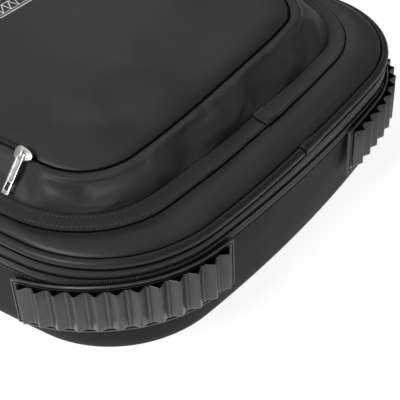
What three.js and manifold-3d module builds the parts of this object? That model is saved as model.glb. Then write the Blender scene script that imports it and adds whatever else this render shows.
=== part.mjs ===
// A soft-sided carry case for tabletop miniatures, lying flat on its base.
//
// Frame: millimetres, +Z up, origin under the middle of the case. X is the width, and the
// front is at -Y. The lid hinges on the right side (+X), the carry handle is on the rear
// wall (+Y), and the two main zip sliders meet on the left side (-X).

import * as THREE from "three";
import { mergeVertices } from "three/addons/utils/BufferGeometryUtils.js";
import Module from "manifold-3d";

const wasm = await Module();
wasm.setup();

// Driving dimensions

const GAP = 0.3;
const DEGREE = Math.PI / 180;

const BODY = {
  halfWidth: 182.3, halfLength: 230, cornerRadius: 90, frontRadius: 975, frontAngle: 5.6 * DEGREE,
};
const HEM = {
  halfWidth: 167, halfLength: 197, cornerRadius: 78, frontRadius: 975, frontAngle: 5.4 * DEGREE,
};
const SEAM = {
  halfWidth: 132, halfLength: 165, cornerRadius: 48, frontRadius: 975, frontAngle: 5.15 * DEGREE,
};
const FRONT_STEPS = 4;
const CORNER_STEPS = 7;
const SIDE_STEPS = 6;

// The wall leans in towards the ground, as [height, inset from the outline].
const WALL_PROFILE = [[0, 15], [2, 11.5], [5, 9], [12, 7], [30, 4.5], [64, 1.5]];
const WALL_THICKNESS = 6;
const FLOOR_THICKNESS = 6;
const WALL_TOP = 64;

const ZIP_INSET = 0.6;
const ZIP_THICKNESS = 1.8;
const LOWER_TAPE = [64.3, 69.2];
const LOWER_COIL = [69.5, 70.6];
const UPPER_COIL = [71.2, 72.3];
const UPPER_TAPE = [72.6, 79.7];
const COIL_PROUD = 0.8;
const HINGE_HALF = 120;

const PIPING_MIDDLE = 83.3;
const PIPING_HALF_HEIGHT = 3.25;
const PIPING_HALF_WIDTH = 3.5;
const PIPING_INSET = 2.2;
const PANEL_LOW = 81.2;
const PANEL_TOP = 88;
const LID_PAD = [72, 80.8];
const LID_PAD_INSET = 9;

const TRAY_LOW = 13.9;
const TRAY_TOP = 62;
const TRAY_HALF_WIDTH = 134;
const TRAY_HALF_LENGTH = 181;
const TRAY_COLUMNS = 3;
const TRAY_ROWS = 4;
const DIVIDER = 8;

const BUMPER_LOW = 29.4;
const BUMPER_HIGH = 67.1;
const BUMPER_LENGTH = 150;
const BUMPER_PLATE = 2.3;
const BUMPER_DEPTH = 8.3;
const RIDGE_COUNT = 12;
const RIDGE_PITCH = 12;
const RIDGE_WALL = 1.7;
const RIDGE_MARGIN = 2.6;
const LONG_SIDE_SAG = 10;
const FRONT_SAG = 1.4;

const HEM_WIDTH = 12;
const HEM_HEIGHT = 1.7;
const POCKET_SEAM_Z = 111.5;
const GUSSET_THICKNESS = 2.6;
const PANEL_THICKNESS = 2.8;
const FOLD_Y = -117;
const FLAP_INSET = 8;
const ZIP_SHELF = 4;

const EMBLEM_SIDE = 58;
const EMBLEM_BOTTOM_Y = 19;
const EMBLEM_BAND = 14;
const EMBLEM_LINE = 1.8;
const EMBLEM_THICKNESS = 0.5;

const SLIDER_WIDTH = 9.8;
const SLIDER_LENGTH = 14;
const SLIDER_PLATE = 1.6;
const BRIDGE = { length: 2.4, width: 5, top: 4.8, holeWidth: 2.6, holeLow: 1.9, holeTop: 3.9 };
const PULL = { length: 27, width: 5.5, thickness: 1.2, pivot: 2.9 };
const POCKET_SLIDER = { x: -133.5, y: -112.5, z: 112.6, lean: 45, yaw: 0, droop: 4 };
const MAIN_SLIDER_Y = 9;
const MAIN_SLIDER_GAP = 0.4;

const HANDLE_X = 62;
const HANDLE_Y = 232.6;
const HANDLE_PIVOT_Z = 54;
const ANCHOR = { half: 14, y: [227.2, 229], z: [34, 63], sleeve: 4, hole: 2.4, sleeveHalf: 9 };
const RING = { halfWidth: 15, drop: 14.7, wire: 2.6 };
const STRAP_WIDTH = 12;
const STRAP_THICKNESS = 2.4;
const STRAP_Z = 16;
const GRIP_LENGTH = 96;
const GRIP_HEIGHT = 23;
const GRIP_DEPTH = 12;

// Finishes

function finish(color, roughness, metalness = 0) {
  return { color, roughness, metalness };
}

const LEATHER = finish(0x383637, 0.5);
const LINING = finish(0x1c1c1e, 0.9);
const FOAM = finish(0x2a2a2c, 0.95);
const WEBBING = finish(0x1d1d1f, 0.85);
const RUBBER = finish(0x4a4a4a, 0.55);
const NICKEL = finish(0xd8d8d6, 0.2, 1);
const PRINT = finish(0xefefef, 0.6);

// Outlines: two bowed ends, two bowed sides and four round corners, tangent to each other

function outlineArcs({ halfWidth, halfLength, cornerRadius, frontRadius, frontAngle }) {
  const reach = frontRadius - cornerRadius;
  const x = reach * Math.sin(frontAngle);
  const y = halfLength - frontRadius + reach * Math.cos(frontAngle);
  const across = halfWidth - x;
  const sideRadius = (across ** 2 - cornerRadius ** 2 + y ** 2) / (2 * (across - cornerRadius));
  const sideAngle = Math.asin(y / (sideRadius - cornerRadius));
  const quarter = Math.PI / 2;
  const endArc = (side) => ({
    x: 0, y: side * (halfLength - frontRadius), radius: frontRadius, steps: FRONT_STEPS,
    from: side * quarter - frontAngle, to: side * quarter + frontAngle,
  });
  const sideArc = (side, middle) => ({
    x: side * (halfWidth - sideRadius), y: 0, radius: sideRadius, steps: SIDE_STEPS,
    from: middle - sideAngle, to: middle + sideAngle,
  });
  const cornerArc = (sideX, sideY, from, to) => ({
    x: sideX * x, y: sideY * y, radius: cornerRadius, steps: CORNER_STEPS, from, to,
  });
  return [
    endArc(-1),
    cornerArc(1, -1, frontAngle - quarter, -sideAngle),
    sideArc(1, 0),
    cornerArc(1, 1, sideAngle, quarter - frontAngle),
    endArc(1),
    cornerArc(-1, 1, quarter + frontAngle, 2 * quarter - sideAngle),
    sideArc(-1, 2 * quarter),
    cornerArc(-1, -1, 2 * quarter + sideAngle, 3 * quarter - frontAngle),
  ];
}

function arcPoint(arc, angle, inset) {
  const radius = arc.radius - inset;
  return new THREE.Vector2(arc.x + radius * Math.cos(angle), arc.y + radius * Math.sin(angle));
}

function loop(outline, inset, z) {
  const points = [];
  for (const arc of outlineArcs(outline)) {
    for (let step = 0; step < arc.steps; step += 1) {
      const angle = arc.from + ((arc.to - arc.from) * step) / arc.steps;
      const point = arcPoint(arc, angle, inset);
      points.push(new THREE.Vector3(point.x, point.y, z));
    }
  }
  return points;
}

// A closed skin through loops of equal length: a ring when it closes on itself, else capped.
function skin(loops, closed) {
  const count = loops[0].length;
  const points = loops.flat();
  const faces = [];
  const bands = closed ? loops.length : loops.length - 1;
  for (let band = 0; band < bands; band += 1) {
    const low = band * count;
    const high = ((band + 1) % loops.length) * count;
    for (let i = 0; i < count; i += 1) {
      const next = (i + 1) % count;
      faces.push(low + i, low + next, high + next);
      faces.push(low + i, high + next, high + i);
    }
  }
  if (!closed) {
    const last = (loops.length - 1) * count;
    const bottom = points.push(centre(loops[0])) - 1;
    const top = points.push(centre(loops[loops.length - 1])) - 1;
    for (let i = 0; i < count; i += 1) {
      const next = (i + 1) % count;
      faces.push(bottom, next, i);
      faces.push(top, last + i, last + next);
    }
  }
  const geometry = new THREE.BufferGeometry().setFromPoints(points);
  geometry.setIndex(faces);
  return geometry;
}

function centre(points) {
  const sum = new THREE.Vector3();
  for (const point of points) {
    sum.add(point);
  }
  return sum.divideScalar(points.length);
}

function band(outline, outerInset, innerInset, [low, high]) {
  return skin([
    loop(outline, outerInset, low),
    loop(outline, outerInset, high),
    loop(outline, innerInset, high),
    loop(outline, innerInset, low),
  ], true);
}

function slab([x0, x1], [y0, y1], [z0, z1]) {
  const box = new THREE.BoxGeometry(x1 - x0, y1 - y0, z1 - z0);
  return box.translate((x0 + x1) / 2, (y0 + y1) / 2, (z0 + z1) / 2);
}

function polygon(points) {
  return new THREE.Shape(points.map(([x, y]) => new THREE.Vector2(x, y)));
}

function rectangle([x0, x1], [y0, y1]) {
  return polygon([[x0, y0], [x1, y0], [x1, y1], [x0, y1]]);
}

function extrude(shape, low, high) {
  const geometry = new THREE.ExtrudeGeometry(shape, {
    depth: high - low, bevelEnabled: false, curveSegments: 6,
  });
  return geometry.translate(0, 0, low);
}

// Joins and cuts

function solidOf(geometry) {
  const bare = geometry.clone();
  bare.deleteAttribute("normal");
  bare.deleteAttribute("uv");
  const merged = mergeVertices(bare, 1e-4);
  return new wasm.Manifold(new wasm.Mesh({
    numProp: 3,
    vertProperties: new Float32Array(merged.attributes.position.array),
    triVerts: new Uint32Array(merged.index.array),
  }));
}

function geometryOf(solid) {
  const mesh = solid.getMesh();
  const geometry = new THREE.BufferGeometry();
  geometry.setAttribute("position", new THREE.BufferAttribute(mesh.vertProperties, 3));
  geometry.setIndex(new THREE.BufferAttribute(mesh.triVerts, 1));
  return geometry;
}

function cut(geometry, tool) {
  return geometryOf(solidOf(geometry).subtract(solidOf(tool)));
}

function keep(geometry, tool) {
  return geometryOf(solidOf(geometry).intersect(solidOf(tool)));
}

function join(geometry, other) {
  return geometryOf(solidOf(geometry).add(solidOf(other)));
}

// The assembly

const carryCase = new THREE.Group();

function place(name, geometry, look, parent = carryCase) {
  const material = new THREE.MeshStandardMaterial(look);
  const mesh = new THREE.Mesh(geometry, material);
  mesh.name = name;
  parent.add(mesh);
  return mesh;
}

// Base: padded tub, with its wall leaning in and its bottom edge rounded

function addBase() {
  const outside = WALL_PROFILE.map(([z, inset]) => loop(BODY, inset, z));
  const inside = WALL_PROFILE.filter(([z]) => z > FLOOR_THICKNESS)
    .reverse()
    .map(([z, inset]) => loop(BODY, inset + WALL_THICKNESS, z));
  const floor = loop(BODY, WALL_PROFILE[2][1] + WALL_THICKNESS + 2, FLOOR_THICKNESS);
  place("base_shell", skin([...outside, ...inside, floor], false), LEATHER);

  const boardTop = FLOOR_THICKNESS + GAP + 2;
  const board = [loop(BODY, 18, FLOOR_THICKNESS + GAP), loop(BODY, 18, boardTop)];
  place("floor_board", skin(board, false), LINING);
  const pad = [loop(BODY, 17, boardTop + GAP), loop(BODY, 16, TRAY_LOW - GAP)];
  place("floor_pad", skin(pad, false), FOAM);
}

// Foam tray: a rim with one square-cornered hole, split into cells by cross dividers

function addTray() {
  const block = skin([loop(BODY, 14, TRAY_LOW), loop(BODY, 8.4, TRAY_TOP)], false);
  const x = [-TRAY_HALF_WIDTH, TRAY_HALF_WIDTH];
  const y = [-TRAY_HALF_LENGTH, TRAY_HALF_LENGTH];
  place("tray_rim", cut(block, slab(x, y, [TRAY_LOW - 1, TRAY_TOP + 1])), FOAM);

  const cellWidth = (2 * TRAY_HALF_WIDTH - (TRAY_COLUMNS - 1) * DIVIDER) / TRAY_COLUMNS;
  const cellLength = (2 * TRAY_HALF_LENGTH - (TRAY_ROWS - 1) * DIVIDER) / TRAY_ROWS;
  const height = [TRAY_LOW, TRAY_TOP];
  for (let column = 0; column < TRAY_COLUMNS; column += 1) {
    const left = -TRAY_HALF_WIDTH + column * (cellWidth + DIVIDER);
    const right = left + cellWidth;
    if (column < TRAY_COLUMNS - 1) {
      const along = [-TRAY_HALF_LENGTH + GAP, TRAY_HALF_LENGTH - GAP];
      place(`long_divider_${column + 1}`, slab([right, right + DIVIDER], along, height), FOAM);
    }
    for (let row = 1; row < TRAY_ROWS; row += 1) {
      const low = -TRAY_HALF_LENGTH + row * (cellLength + DIVIDER) - DIVIDER;
      const name = `short_divider_${column + 1}_${row}`;
      place(name, slab([left + GAP, right - GAP], [low, low + DIVIDER], height), FOAM);
    }
  }
}

// Main zip: two tapes and two rows of coil, open at the hinge strip on the right side

function addMainZip() {
  const hingeBox = (half) => slab([150, 200], [-half, half], [0, 100]);
  const inner = ZIP_INSET + ZIP_THICKNESS;
  const coilOuter = ZIP_INSET - COIL_PROUD;
  const zipped = (outer, levels) => cut(band(BODY, outer, inner, levels), hingeBox(HINGE_HALF));
  place("zip_lower_tape", zipped(ZIP_INSET, LOWER_TAPE), WEBBING);
  place("zip_lower_coil", zipped(coilOuter, LOWER_COIL), WEBBING);
  place("zip_upper_coil", zipped(coilOuter, UPPER_COIL), WEBBING);
  place("zip_upper_tape", zipped(ZIP_INSET, UPPER_TAPE), WEBBING);
  const strip = (levels) => keep(band(BODY, ZIP_INSET, inner, levels), hingeBox(HINGE_HALF - GAP));
  place("hinge_strip_base", strip([LOWER_TAPE[0], LOWER_COIL[1]]), LEATHER);
  place("hinge_strip_lid", strip([UPPER_COIL[0], UPPER_TAPE[1]]), LEATHER);
}

// Lid: padded panel edged with piping, and a pad inside it

function addLid() {
  const section = [];
  for (let i = 0; i < 8; i += 1) {
    const angle = (i + 0.5) * 45 * DEGREE;
    const inset = PIPING_INSET - PIPING_HALF_WIDTH * Math.cos(angle);
    section.push(loop(BODY, inset, PIPING_MIDDLE + PIPING_HALF_HEIGHT * Math.sin(angle)));
  }
  place("lid_piping", skin(section, true), LEATHER);
  const edge = PIPING_INSET + PIPING_HALF_WIDTH + GAP;
  const panel = [
    loop(BODY, edge, PANEL_LOW),
    loop(BODY, edge, PANEL_TOP - 2.2),
    loop(BODY, edge + 5, PANEL_TOP - 0.6),
    loop(BODY, 28, PANEL_TOP),
  ];
  place("lid_panel", skin(panel, false), LEATHER);
  const pad = [loop(BODY, LID_PAD_INSET, LID_PAD[0]), loop(BODY, LID_PAD_INSET, LID_PAD[1])];
  place("lid_pad", skin(pad, false), FOAM);
}

// Bumpers: a ridged rubber moulding round each corner, with open triangular tunnels. Its plan
// is laid out as (distance along the wall, distance out) and bent round the front left corner.

function wallPoint(along, out) {
  const arcs = outlineArcs(BODY);
  const corner = arcs[7];
  const middle = (corner.from + corner.to) / 2;
  const half = (corner.radius * (corner.to - corner.from)) / 2;
  if (along > half) {
    return arcPoint(arcs[0], arcs[0].from + (along - half) / arcs[0].radius, -out);
  }
  if (along < -half) {
    return arcPoint(arcs[6], arcs[6].to + (along + half) / arcs[6].radius, -out);
  }
  return arcPoint(corner, middle + along / corner.radius, -out);
}

function bentPolygon(points, shift) {
  return polygon(points.map(([along, out]) => wallPoint(along + shift, out).toArray()));
}

// The moulding sags a little towards its ends, most on the long side of the case.
function sagEnds(geometry, shift) {
  const corner = outlineArcs(BODY)[7];
  const middle = (corner.from + corner.to) / 2 - 2 * Math.PI;
  const position = geometry.attributes.position;
  for (let i = 0; i < position.count; i += 1) {
    const angle = Math.atan2(position.getY(i) - corner.y, position.getX(i) - corner.x);
    const turn = angle > Math.PI / 2 ? angle - 2 * Math.PI : angle;
    const along = (turn - middle) * corner.radius - shift;
    const depth = along < 0 ? LONG_SIDE_SAG : FRONT_SAG;
    position.setZ(i, position.getZ(i) - depth * (along / (BUMPER_LENGTH / 2)) ** 2);
  }
  return geometry;
}

function bumper(shift) {
  const front = [];
  const back = [];
  const steps = 2 * RIDGE_COUNT;
  for (let i = 0; i <= steps; i += 1) {
    const along = BUMPER_LENGTH * (i / steps - 0.5);
    front.push([along, BUMPER_PLATE]);
    back.push([along, GAP]);
  }
  const plate = extrude(bentPolygon([...back, ...front.reverse()], shift), BUMPER_LOW, BUMPER_HIGH);

  const start = (-RIDGE_COUNT * RIDGE_PITCH) / 2;
  const root = BUMPER_PLATE - GAP;
  const valley = BUMPER_PLATE + 0.9;
  const crests = [[-start, valley]];
  const feet = [[-start, root]];
  const tunnels = [];
  for (let i = RIDGE_COUNT - 1; i >= 0; i -= 1) {
    const left = start + i * RIDGE_PITCH;
    const middle = left + RIDGE_PITCH / 2;
    crests.push([middle, BUMPER_DEPTH], [left, valley]);
    feet.push([middle, root], [left, root]);
    tunnels.push(bentPolygon([
      [left + RIDGE_WALL + 0.4, BUMPER_PLATE],
      [middle, BUMPER_DEPTH - 1.5 * RIDGE_WALL],
      [left + RIDGE_PITCH - RIDGE_WALL - 0.4, BUMPER_PLATE],
    ], shift));
  }
  const plan = bentPolygon([...crests, ...feet.reverse()], shift);
  plan.holes.push(...tunnels);
  const ridges = extrude(plan, BUMPER_LOW + RIDGE_MARGIN, BUMPER_HIGH - RIDGE_MARGIN);
  return join(sagEnds(plate, shift), sagEnds(ridges, shift));
}

function addBumpers() {
  const corners = [
    ["front_left", 1, 1, 2],
    ["front_right", -1, 1, 30],
    ["rear_left", 1, -1, 2],
    ["rear_right", -1, -1, 2],
  ];
  for (const [name, mirrorX, mirrorY, shift] of corners) {
    const mesh = place(`bumper_${name}`, bumper(shift), RUBBER);
    mesh.scale.set(mirrorX, mirrorY, 1);
  }
}

// Pocket: a hem sewn to the lid, a sloping gusset, a fixed front panel and a flap that folds
// forward along its front edge. The zip shelf runs round the flap's other three sides.

function addPocket() {
  const hemLow = PANEL_TOP + GAP;
  place("pocket_hem", band(HEM, 0, HEM_WIDTH, [hemLow, hemLow + HEM_HEIGHT]), WEBBING);
  const foot = HEM_WIDTH + GAP;
  const gusset = [
    loop(HEM, foot, hemLow),
    loop(SEAM, 0, POCKET_SEAM_Z),
    loop(SEAM, GUSSET_THICKNESS, POCKET_SEAM_Z),
    loop(HEM, foot + GUSSET_THICKNESS, hemLow),
  ];
  place("pocket_gusset", skin(gusset, true), LEATHER);

  const low = POCKET_SEAM_Z + GAP;
  const levels = [low, low + PANEL_THICKNESS];
  const ahead = slab([-200, 200], [-250, FOLD_Y - GAP], [0, 200]);
  const behind = slab([-200, 200], [FOLD_Y, 250], [0, 200]);
  const whole = (inset) => skin([loop(SEAM, inset, levels[0]), loop(SEAM, inset, levels[1])], false);
  place("pocket_front_panel", keep(whole(0), ahead), LEATHER);
  place("pocket_flap", keep(whole(FLAP_INSET), behind), LEATHER);
  const tape = band(SEAM, 0, ZIP_SHELF, [low, low + 1.4]);
  place("pocket_zip_tape", keep(tape, behind), WEBBING);
  const coil = band(SEAM, ZIP_SHELF + GAP, FLAP_INSET - 0.6, [low, low + 1.8]);
  place("pocket_zip_coil", keep(coil, behind), WEBBING);
}

// Emblem: a six-sided printed frame with a band of triangles and a faceted die inside it

function hexagon(side) {
  const points = [];
  for (let i = 0; i < 6; i += 1) {
    const angle = i * 60 * DEGREE;
    points.push(new THREE.Vector2(side * Math.cos(angle), side * Math.sin(angle)));
  }
  return points;
}

// Each side moved in by half a line's width
function shrink(corners) {
  const middle = new THREE.Vector2();
  corners.forEach((corner) => middle.add(corner));
  middle.divideScalar(corners.length);
  const edge = corners[1].clone().sub(corners[0]);
  const toMiddle = middle.clone().sub(corners[0]);
  const distance = Math.abs(edge.cross(toMiddle)) / edge.length();
  const factor = 1 - EMBLEM_LINE / 2 / distance;
  return corners.map((corner) => corner.clone().sub(middle).multiplyScalar(factor).add(middle));
}

function addEmblem() {
  const outer = hexagon(EMBLEM_SIDE);
  const inner = hexagon(EMBLEM_SIDE - (EMBLEM_BAND * 2) / Math.sqrt(3));
  const die = hexagon((EMBLEM_SIDE - (EMBLEM_BAND * 2) / Math.sqrt(3)) / 2);
  const facets = [];
  for (let i = 0; i < 6; i += 1) {
    const next = (i + 1) % 6;
    const middle = outer[i].clone().add(outer[next]).multiplyScalar(0.5);
    facets.push([outer[i], middle, inner[i]]);
    facets.push([middle, outer[next], inner[next]]);
    facets.push([middle, inner[next], inner[i]]);
  }
  const triangle = [die[1], die[3], die[5]];
  facets.push(triangle);
  for (let i = 0; i < 3; i += 1) {
    const a = triangle[i];
    const b = triangle[(i + 1) % 3];
    const tip = inner[(2 * i + 2) % 6];
    facets.push([a, b, tip].reverse());
    facets.push([a, inner[2 * i + 1], tip]);
    facets.push([b, tip, inner[(2 * i + 3) % 6]]);
  }
  const frame = outer.map((corner) => corner.clone().multiplyScalar(1 + EMBLEM_LINE / EMBLEM_SIDE));
  const low = POCKET_SEAM_Z + GAP + PANEL_THICKNESS + GAP;
  let geometry = extrude(new THREE.Shape(frame), low, low + EMBLEM_THICKNESS);
  for (const facet of facets) {
    geometry = cut(geometry, extrude(new THREE.Shape(shrink(facet)), low - 1, low + 1));
  }
  const middleY = EMBLEM_BOTTOM_Y + (EMBLEM_SIDE * Math.sqrt(3)) / 2;
  place("emblem_print", geometry.translate(0, middleY, 0), PRINT);
}

// Zip sliders and pulls, drawn with X along the zip, Y the way the pull lies and Z outwards

function sliderBody() {
  const x = SLIDER_LENGTH / 2;
  const y = SLIDER_WIDTH / 2;
  const plate = polygon([[-x, -y * 0.7], [-x + 3, -y], [x - 4, -y], [x, -y * 0.5],
    [x, y * 0.5], [x - 4, y], [-x + 3, y], [-x, y * 0.7]]);
  const half = BRIDGE.width / 2;
  const arch = rectangle([-half, half], [SLIDER_PLATE - GAP, BRIDGE.top]);
  const holeHalf = BRIDGE.holeWidth / 2;
  arch.holes.push(rectangle([-holeHalf, holeHalf], [BRIDGE.holeLow, BRIDGE.holeTop]));
  const bridge = extrude(arch, -BRIDGE.length / 2, BRIDGE.length / 2);
  bridge.rotateX(Math.PI / 2).rotateZ(Math.PI / 2);
  return join(extrude(plate, 0, SLIDER_PLATE), bridge);
}

function pullTab() {
  const half = PULL.width / 2;
  const bar = PULL.thickness / 2;
  const end = PULL.length - bar;
  const shape = polygon([[-half, -bar], [half, -bar], [half, end - 1], [half - 1, end],
    [1 - half, end], [-half, end - 1]]);
  const eye = BRIDGE.length / 2 + 0.35;
  shape.holes.push(rectangle([-eye, eye], [bar, BRIDGE.width / 2 + 1.2]));
  shape.holes.push(rectangle([-1.5, 1.5], [end - 9, end - 2.5]));
  return extrude(shape, -bar, bar);
}

function addSlider(name, position, lean, yaw, droop) {
  const turned = new THREE.Group();
  turned.position.copy(position);
  turned.rotation.set(0, 0, yaw);
  const facing = new THREE.Group();
  facing.quaternion.setFromRotationMatrix(new THREE.Matrix4().makeBasis(
    new THREE.Vector3(0, 1, 0),
    new THREE.Vector3(-Math.cos(lean), 0, -Math.sin(lean)),
    new THREE.Vector3(-Math.sin(lean), 0, Math.cos(lean)),
  ));
  turned.add(facing);
  carryCase.add(turned);
  place(`${name}_slider`, sliderBody(), NICKEL, facing);
  const pull = place(`${name}_pull`, pullTab(), NICKEL, facing);
  pull.position.z = PULL.pivot;
  pull.rotation.x = -droop;
}

function addSliders() {
  const mainX = -(BODY.halfWidth - ZIP_INSET + COIL_PROUD + MAIN_SLIDER_GAP);
  const mainZ = (LOWER_COIL[1] + UPPER_COIL[0]) / 2;
  const upright = Math.PI / 2;
  addSlider("main_front", new THREE.Vector3(mainX, -MAIN_SLIDER_Y, mainZ), upright, 0, 0);
  addSlider("main_rear", new THREE.Vector3(mainX, MAIN_SLIDER_Y, mainZ), upright, 0, 0);
  const { x, y, z, lean, yaw, droop } = POCKET_SLIDER;
  const place = new THREE.Vector3(x, y, z);
  addSlider("pocket", place, lean * DEGREE, yaw * DEGREE, droop * DEGREE);
}

// Handle: two anchors on the rear wall, a ring in each, and a webbing strap with a padded grip

function loopTube(outer, hole, [x0, x1], y, z) {
  const shape = new THREE.Shape().absarc(0, 0, outer, 0, 2 * Math.PI);
  shape.holes.push(new THREE.Path().absarc(0, 0, hole, 0, 2 * Math.PI, true));
  const tube = extrude(shape, x0, x1);
  return tube.rotateY(Math.PI / 2).translate(0, y, z);
}

function addHandle() {
  for (const [name, side] of [["left", -1], ["right", 1]]) {
    const x = side * HANDLE_X;
    const patch = slab([x - ANCHOR.half, x + ANCHOR.half], ANCHOR.y, ANCHOR.z);
    const ends = [x - ANCHOR.sleeveHalf, x + ANCHOR.sleeveHalf];
    const sleeve = loopTube(ANCHOR.sleeve, ANCHOR.hole, ends, HANDLE_Y, HANDLE_PIVOT_Z);
    place(`handle_anchor_${name}`, join(patch, sleeve), LEATHER);

    const half = RING.halfWidth;
    const low = HANDLE_PIVOT_Z - RING.drop;
    const high = HANDLE_PIVOT_Z + RING.wire / 2;
    const ring = rectangle([x - half, x + half], [low, high]);
    const inside = [low + RING.wire, high - RING.wire];
    ring.holes.push(rectangle([x - half + RING.wire, x + half - RING.wire], inside));
    const wire = extrude(ring, -RING.wire / 2, RING.wire / 2);
    wire.rotateX(Math.PI / 2).translate(0, HANDLE_Y, 0);
    place(`handle_ring_${name}`, wire, NICKEL);
  }
  const ringBar = HANDLE_PIVOT_Z - RING.drop + RING.wire / 2;
  const outer = HANDLE_X + STRAP_WIDTH / 2;
  const inner = HANDLE_X - STRAP_WIDTH / 2;
  const low = STRAP_Z - STRAP_WIDTH / 2;
  const high = STRAP_Z + STRAP_WIDTH / 2;
  const top = ringBar - RING.wire;
  const strap = polygon([[-outer, top], [-outer, low + 9], [-outer + 9, low], [outer - 9, low],
    [outer, low + 9], [outer, top], [inner, top], [inner, high + 4], [inner - 4, high],
    [4 - inner, high], [-inner, high + 4], [-inner, top]]);
  const half = STRAP_THICKNESS / 2;
  let webbing = extrude(strap, -half, half).rotateX(Math.PI / 2).translate(0, HANDLE_Y, 0);
  for (const side of [-1, 1]) {
    const ends = [side * HANDLE_X - STRAP_WIDTH / 2, side * HANDLE_X + STRAP_WIDTH / 2];
    webbing = join(webbing, loopTube(3.5, 2.3, ends, HANDLE_Y, ringBar));
  }
  place("handle_strap", webbing, WEBBING);

  const deep = GRIP_DEPTH / 2;
  const tall = GRIP_HEIGHT / 2;
  const grip = polygon([[-deep, 3.5 - tall], [3 - deep, -tall], [deep - 3, -tall], [deep, 3.5 - tall],
    [deep, tall - 3.5], [deep - 3, tall], [3 - deep, tall], [-deep, tall - 3.5]]);
  const clear = half + GAP;
  grip.holes.push(rectangle([-clear, clear], [-STRAP_WIDTH / 2 - GAP, STRAP_WIDTH / 2 + GAP]));
  const pad = extrude(grip, -GRIP_LENGTH / 2, GRIP_LENGTH / 2);
  pad.rotateX(Math.PI / 2).rotateZ(Math.PI / 2).translate(0, HANDLE_Y, STRAP_Z);
  place("handle_grip", pad, LEATHER);
}

addBase();
addTray();
addMainZip();
addLid();
addBumpers();
addPocket();
addEmblem();
addSliders();
addHandle();

export default carryCase;
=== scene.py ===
# A soft-sided carry case for tabletop miniatures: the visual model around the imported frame.
# Metres, +Z up. The front is at -Y, the lid hinges at +X, and the handle is at +Y.
import math
import bmesh
import bpy
import numpy as np
from mathutils import Matrix, Vector, noise
from mathutils.bvhtree import BVHTree


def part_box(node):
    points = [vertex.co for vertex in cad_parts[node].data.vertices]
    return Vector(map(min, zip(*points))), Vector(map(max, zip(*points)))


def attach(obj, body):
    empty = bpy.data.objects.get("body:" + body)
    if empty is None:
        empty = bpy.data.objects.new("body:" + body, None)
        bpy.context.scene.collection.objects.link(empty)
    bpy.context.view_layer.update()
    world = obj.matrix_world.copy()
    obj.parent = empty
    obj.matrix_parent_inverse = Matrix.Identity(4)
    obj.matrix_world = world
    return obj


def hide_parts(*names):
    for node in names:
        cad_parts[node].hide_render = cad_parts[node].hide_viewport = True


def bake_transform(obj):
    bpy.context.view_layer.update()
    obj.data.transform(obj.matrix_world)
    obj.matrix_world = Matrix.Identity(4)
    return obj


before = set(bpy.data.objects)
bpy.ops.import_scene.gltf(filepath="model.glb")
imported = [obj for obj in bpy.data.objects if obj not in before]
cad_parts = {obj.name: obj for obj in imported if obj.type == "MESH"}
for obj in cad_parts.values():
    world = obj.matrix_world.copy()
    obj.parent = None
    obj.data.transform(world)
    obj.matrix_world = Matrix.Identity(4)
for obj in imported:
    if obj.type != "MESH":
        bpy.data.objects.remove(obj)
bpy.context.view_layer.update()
MM = 0.001

# ---------------------------------------------------------------- sizes taken from the frame

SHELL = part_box("base_shell")
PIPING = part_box("lid_piping")
LOWER_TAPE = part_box("zip_lower_tape")
UPPER_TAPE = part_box("zip_upper_tape")
LOWER_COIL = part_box("zip_lower_coil")
UPPER_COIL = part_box("zip_upper_coil")
HINGE_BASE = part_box("hinge_strip_base")
HINGE_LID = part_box("hinge_strip_lid")
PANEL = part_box("lid_panel")
HEM_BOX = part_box("pocket_hem")
SEAM_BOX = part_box("pocket_zip_tape")
FRONT_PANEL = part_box("pocket_front_panel")
EMBLEM_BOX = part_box("emblem_print")

WALL_TOP_INSET = 1.5 * MM
FRONT_RADIUS = 975 * MM
BODY = dict(half_width=SHELL[1].x + WALL_TOP_INSET, half_length=SHELL[1].y + WALL_TOP_INSET,
            corner_radius=90 * MM, end_angle=math.radians(5.6))
HEM = dict(half_width=HEM_BOX[1].x, half_length=HEM_BOX[1].y,
           corner_radius=78 * MM, end_angle=math.radians(5.4))
SEAM = dict(half_width=SEAM_BOX[1].x, half_length=SEAM_BOX[1].y,
            corner_radius=48 * MM, end_angle=math.radians(5.15))

# ---------------------------------------------------------------- outlines


def outline_arcs(half_width, half_length, corner_radius, end_angle):
    """Eight tangent arcs, anticlockwise from the front: (x, y, radius, from, to)."""
    reach = FRONT_RADIUS - corner_radius
    x = reach * math.sin(end_angle)
    y = half_length - FRONT_RADIUS + reach * math.cos(end_angle)
    across = half_width - x
    side_radius = (across**2 - corner_radius**2 + y**2) / (2 * (across - corner_radius))
    side_angle = math.asin(y / (side_radius - corner_radius))
    quarter = math.pi / 2
    end_y = half_length - FRONT_RADIUS
    side_x = half_width - side_radius
    return [
        (0, -end_y, FRONT_RADIUS, -quarter - end_angle, -quarter + end_angle),
        (x, -y, corner_radius, end_angle - quarter, -side_angle),
        (side_x, 0, side_radius, -side_angle, side_angle),
        (x, y, corner_radius, side_angle, quarter - end_angle),
        (0, end_y, FRONT_RADIUS, quarter - end_angle, quarter + end_angle),
        (-x, y, corner_radius, quarter + end_angle, 2 * quarter - side_angle),
        (-side_x, 0, side_radius, 2 * quarter - side_angle, 2 * quarter + side_angle),
        (-x, -y, corner_radius, 2 * quarter + side_angle, 3 * quarter - end_angle),
    ]


ARC_STEPS = (48, 40, 72, 40, 48, 40, 72, 40)


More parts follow.
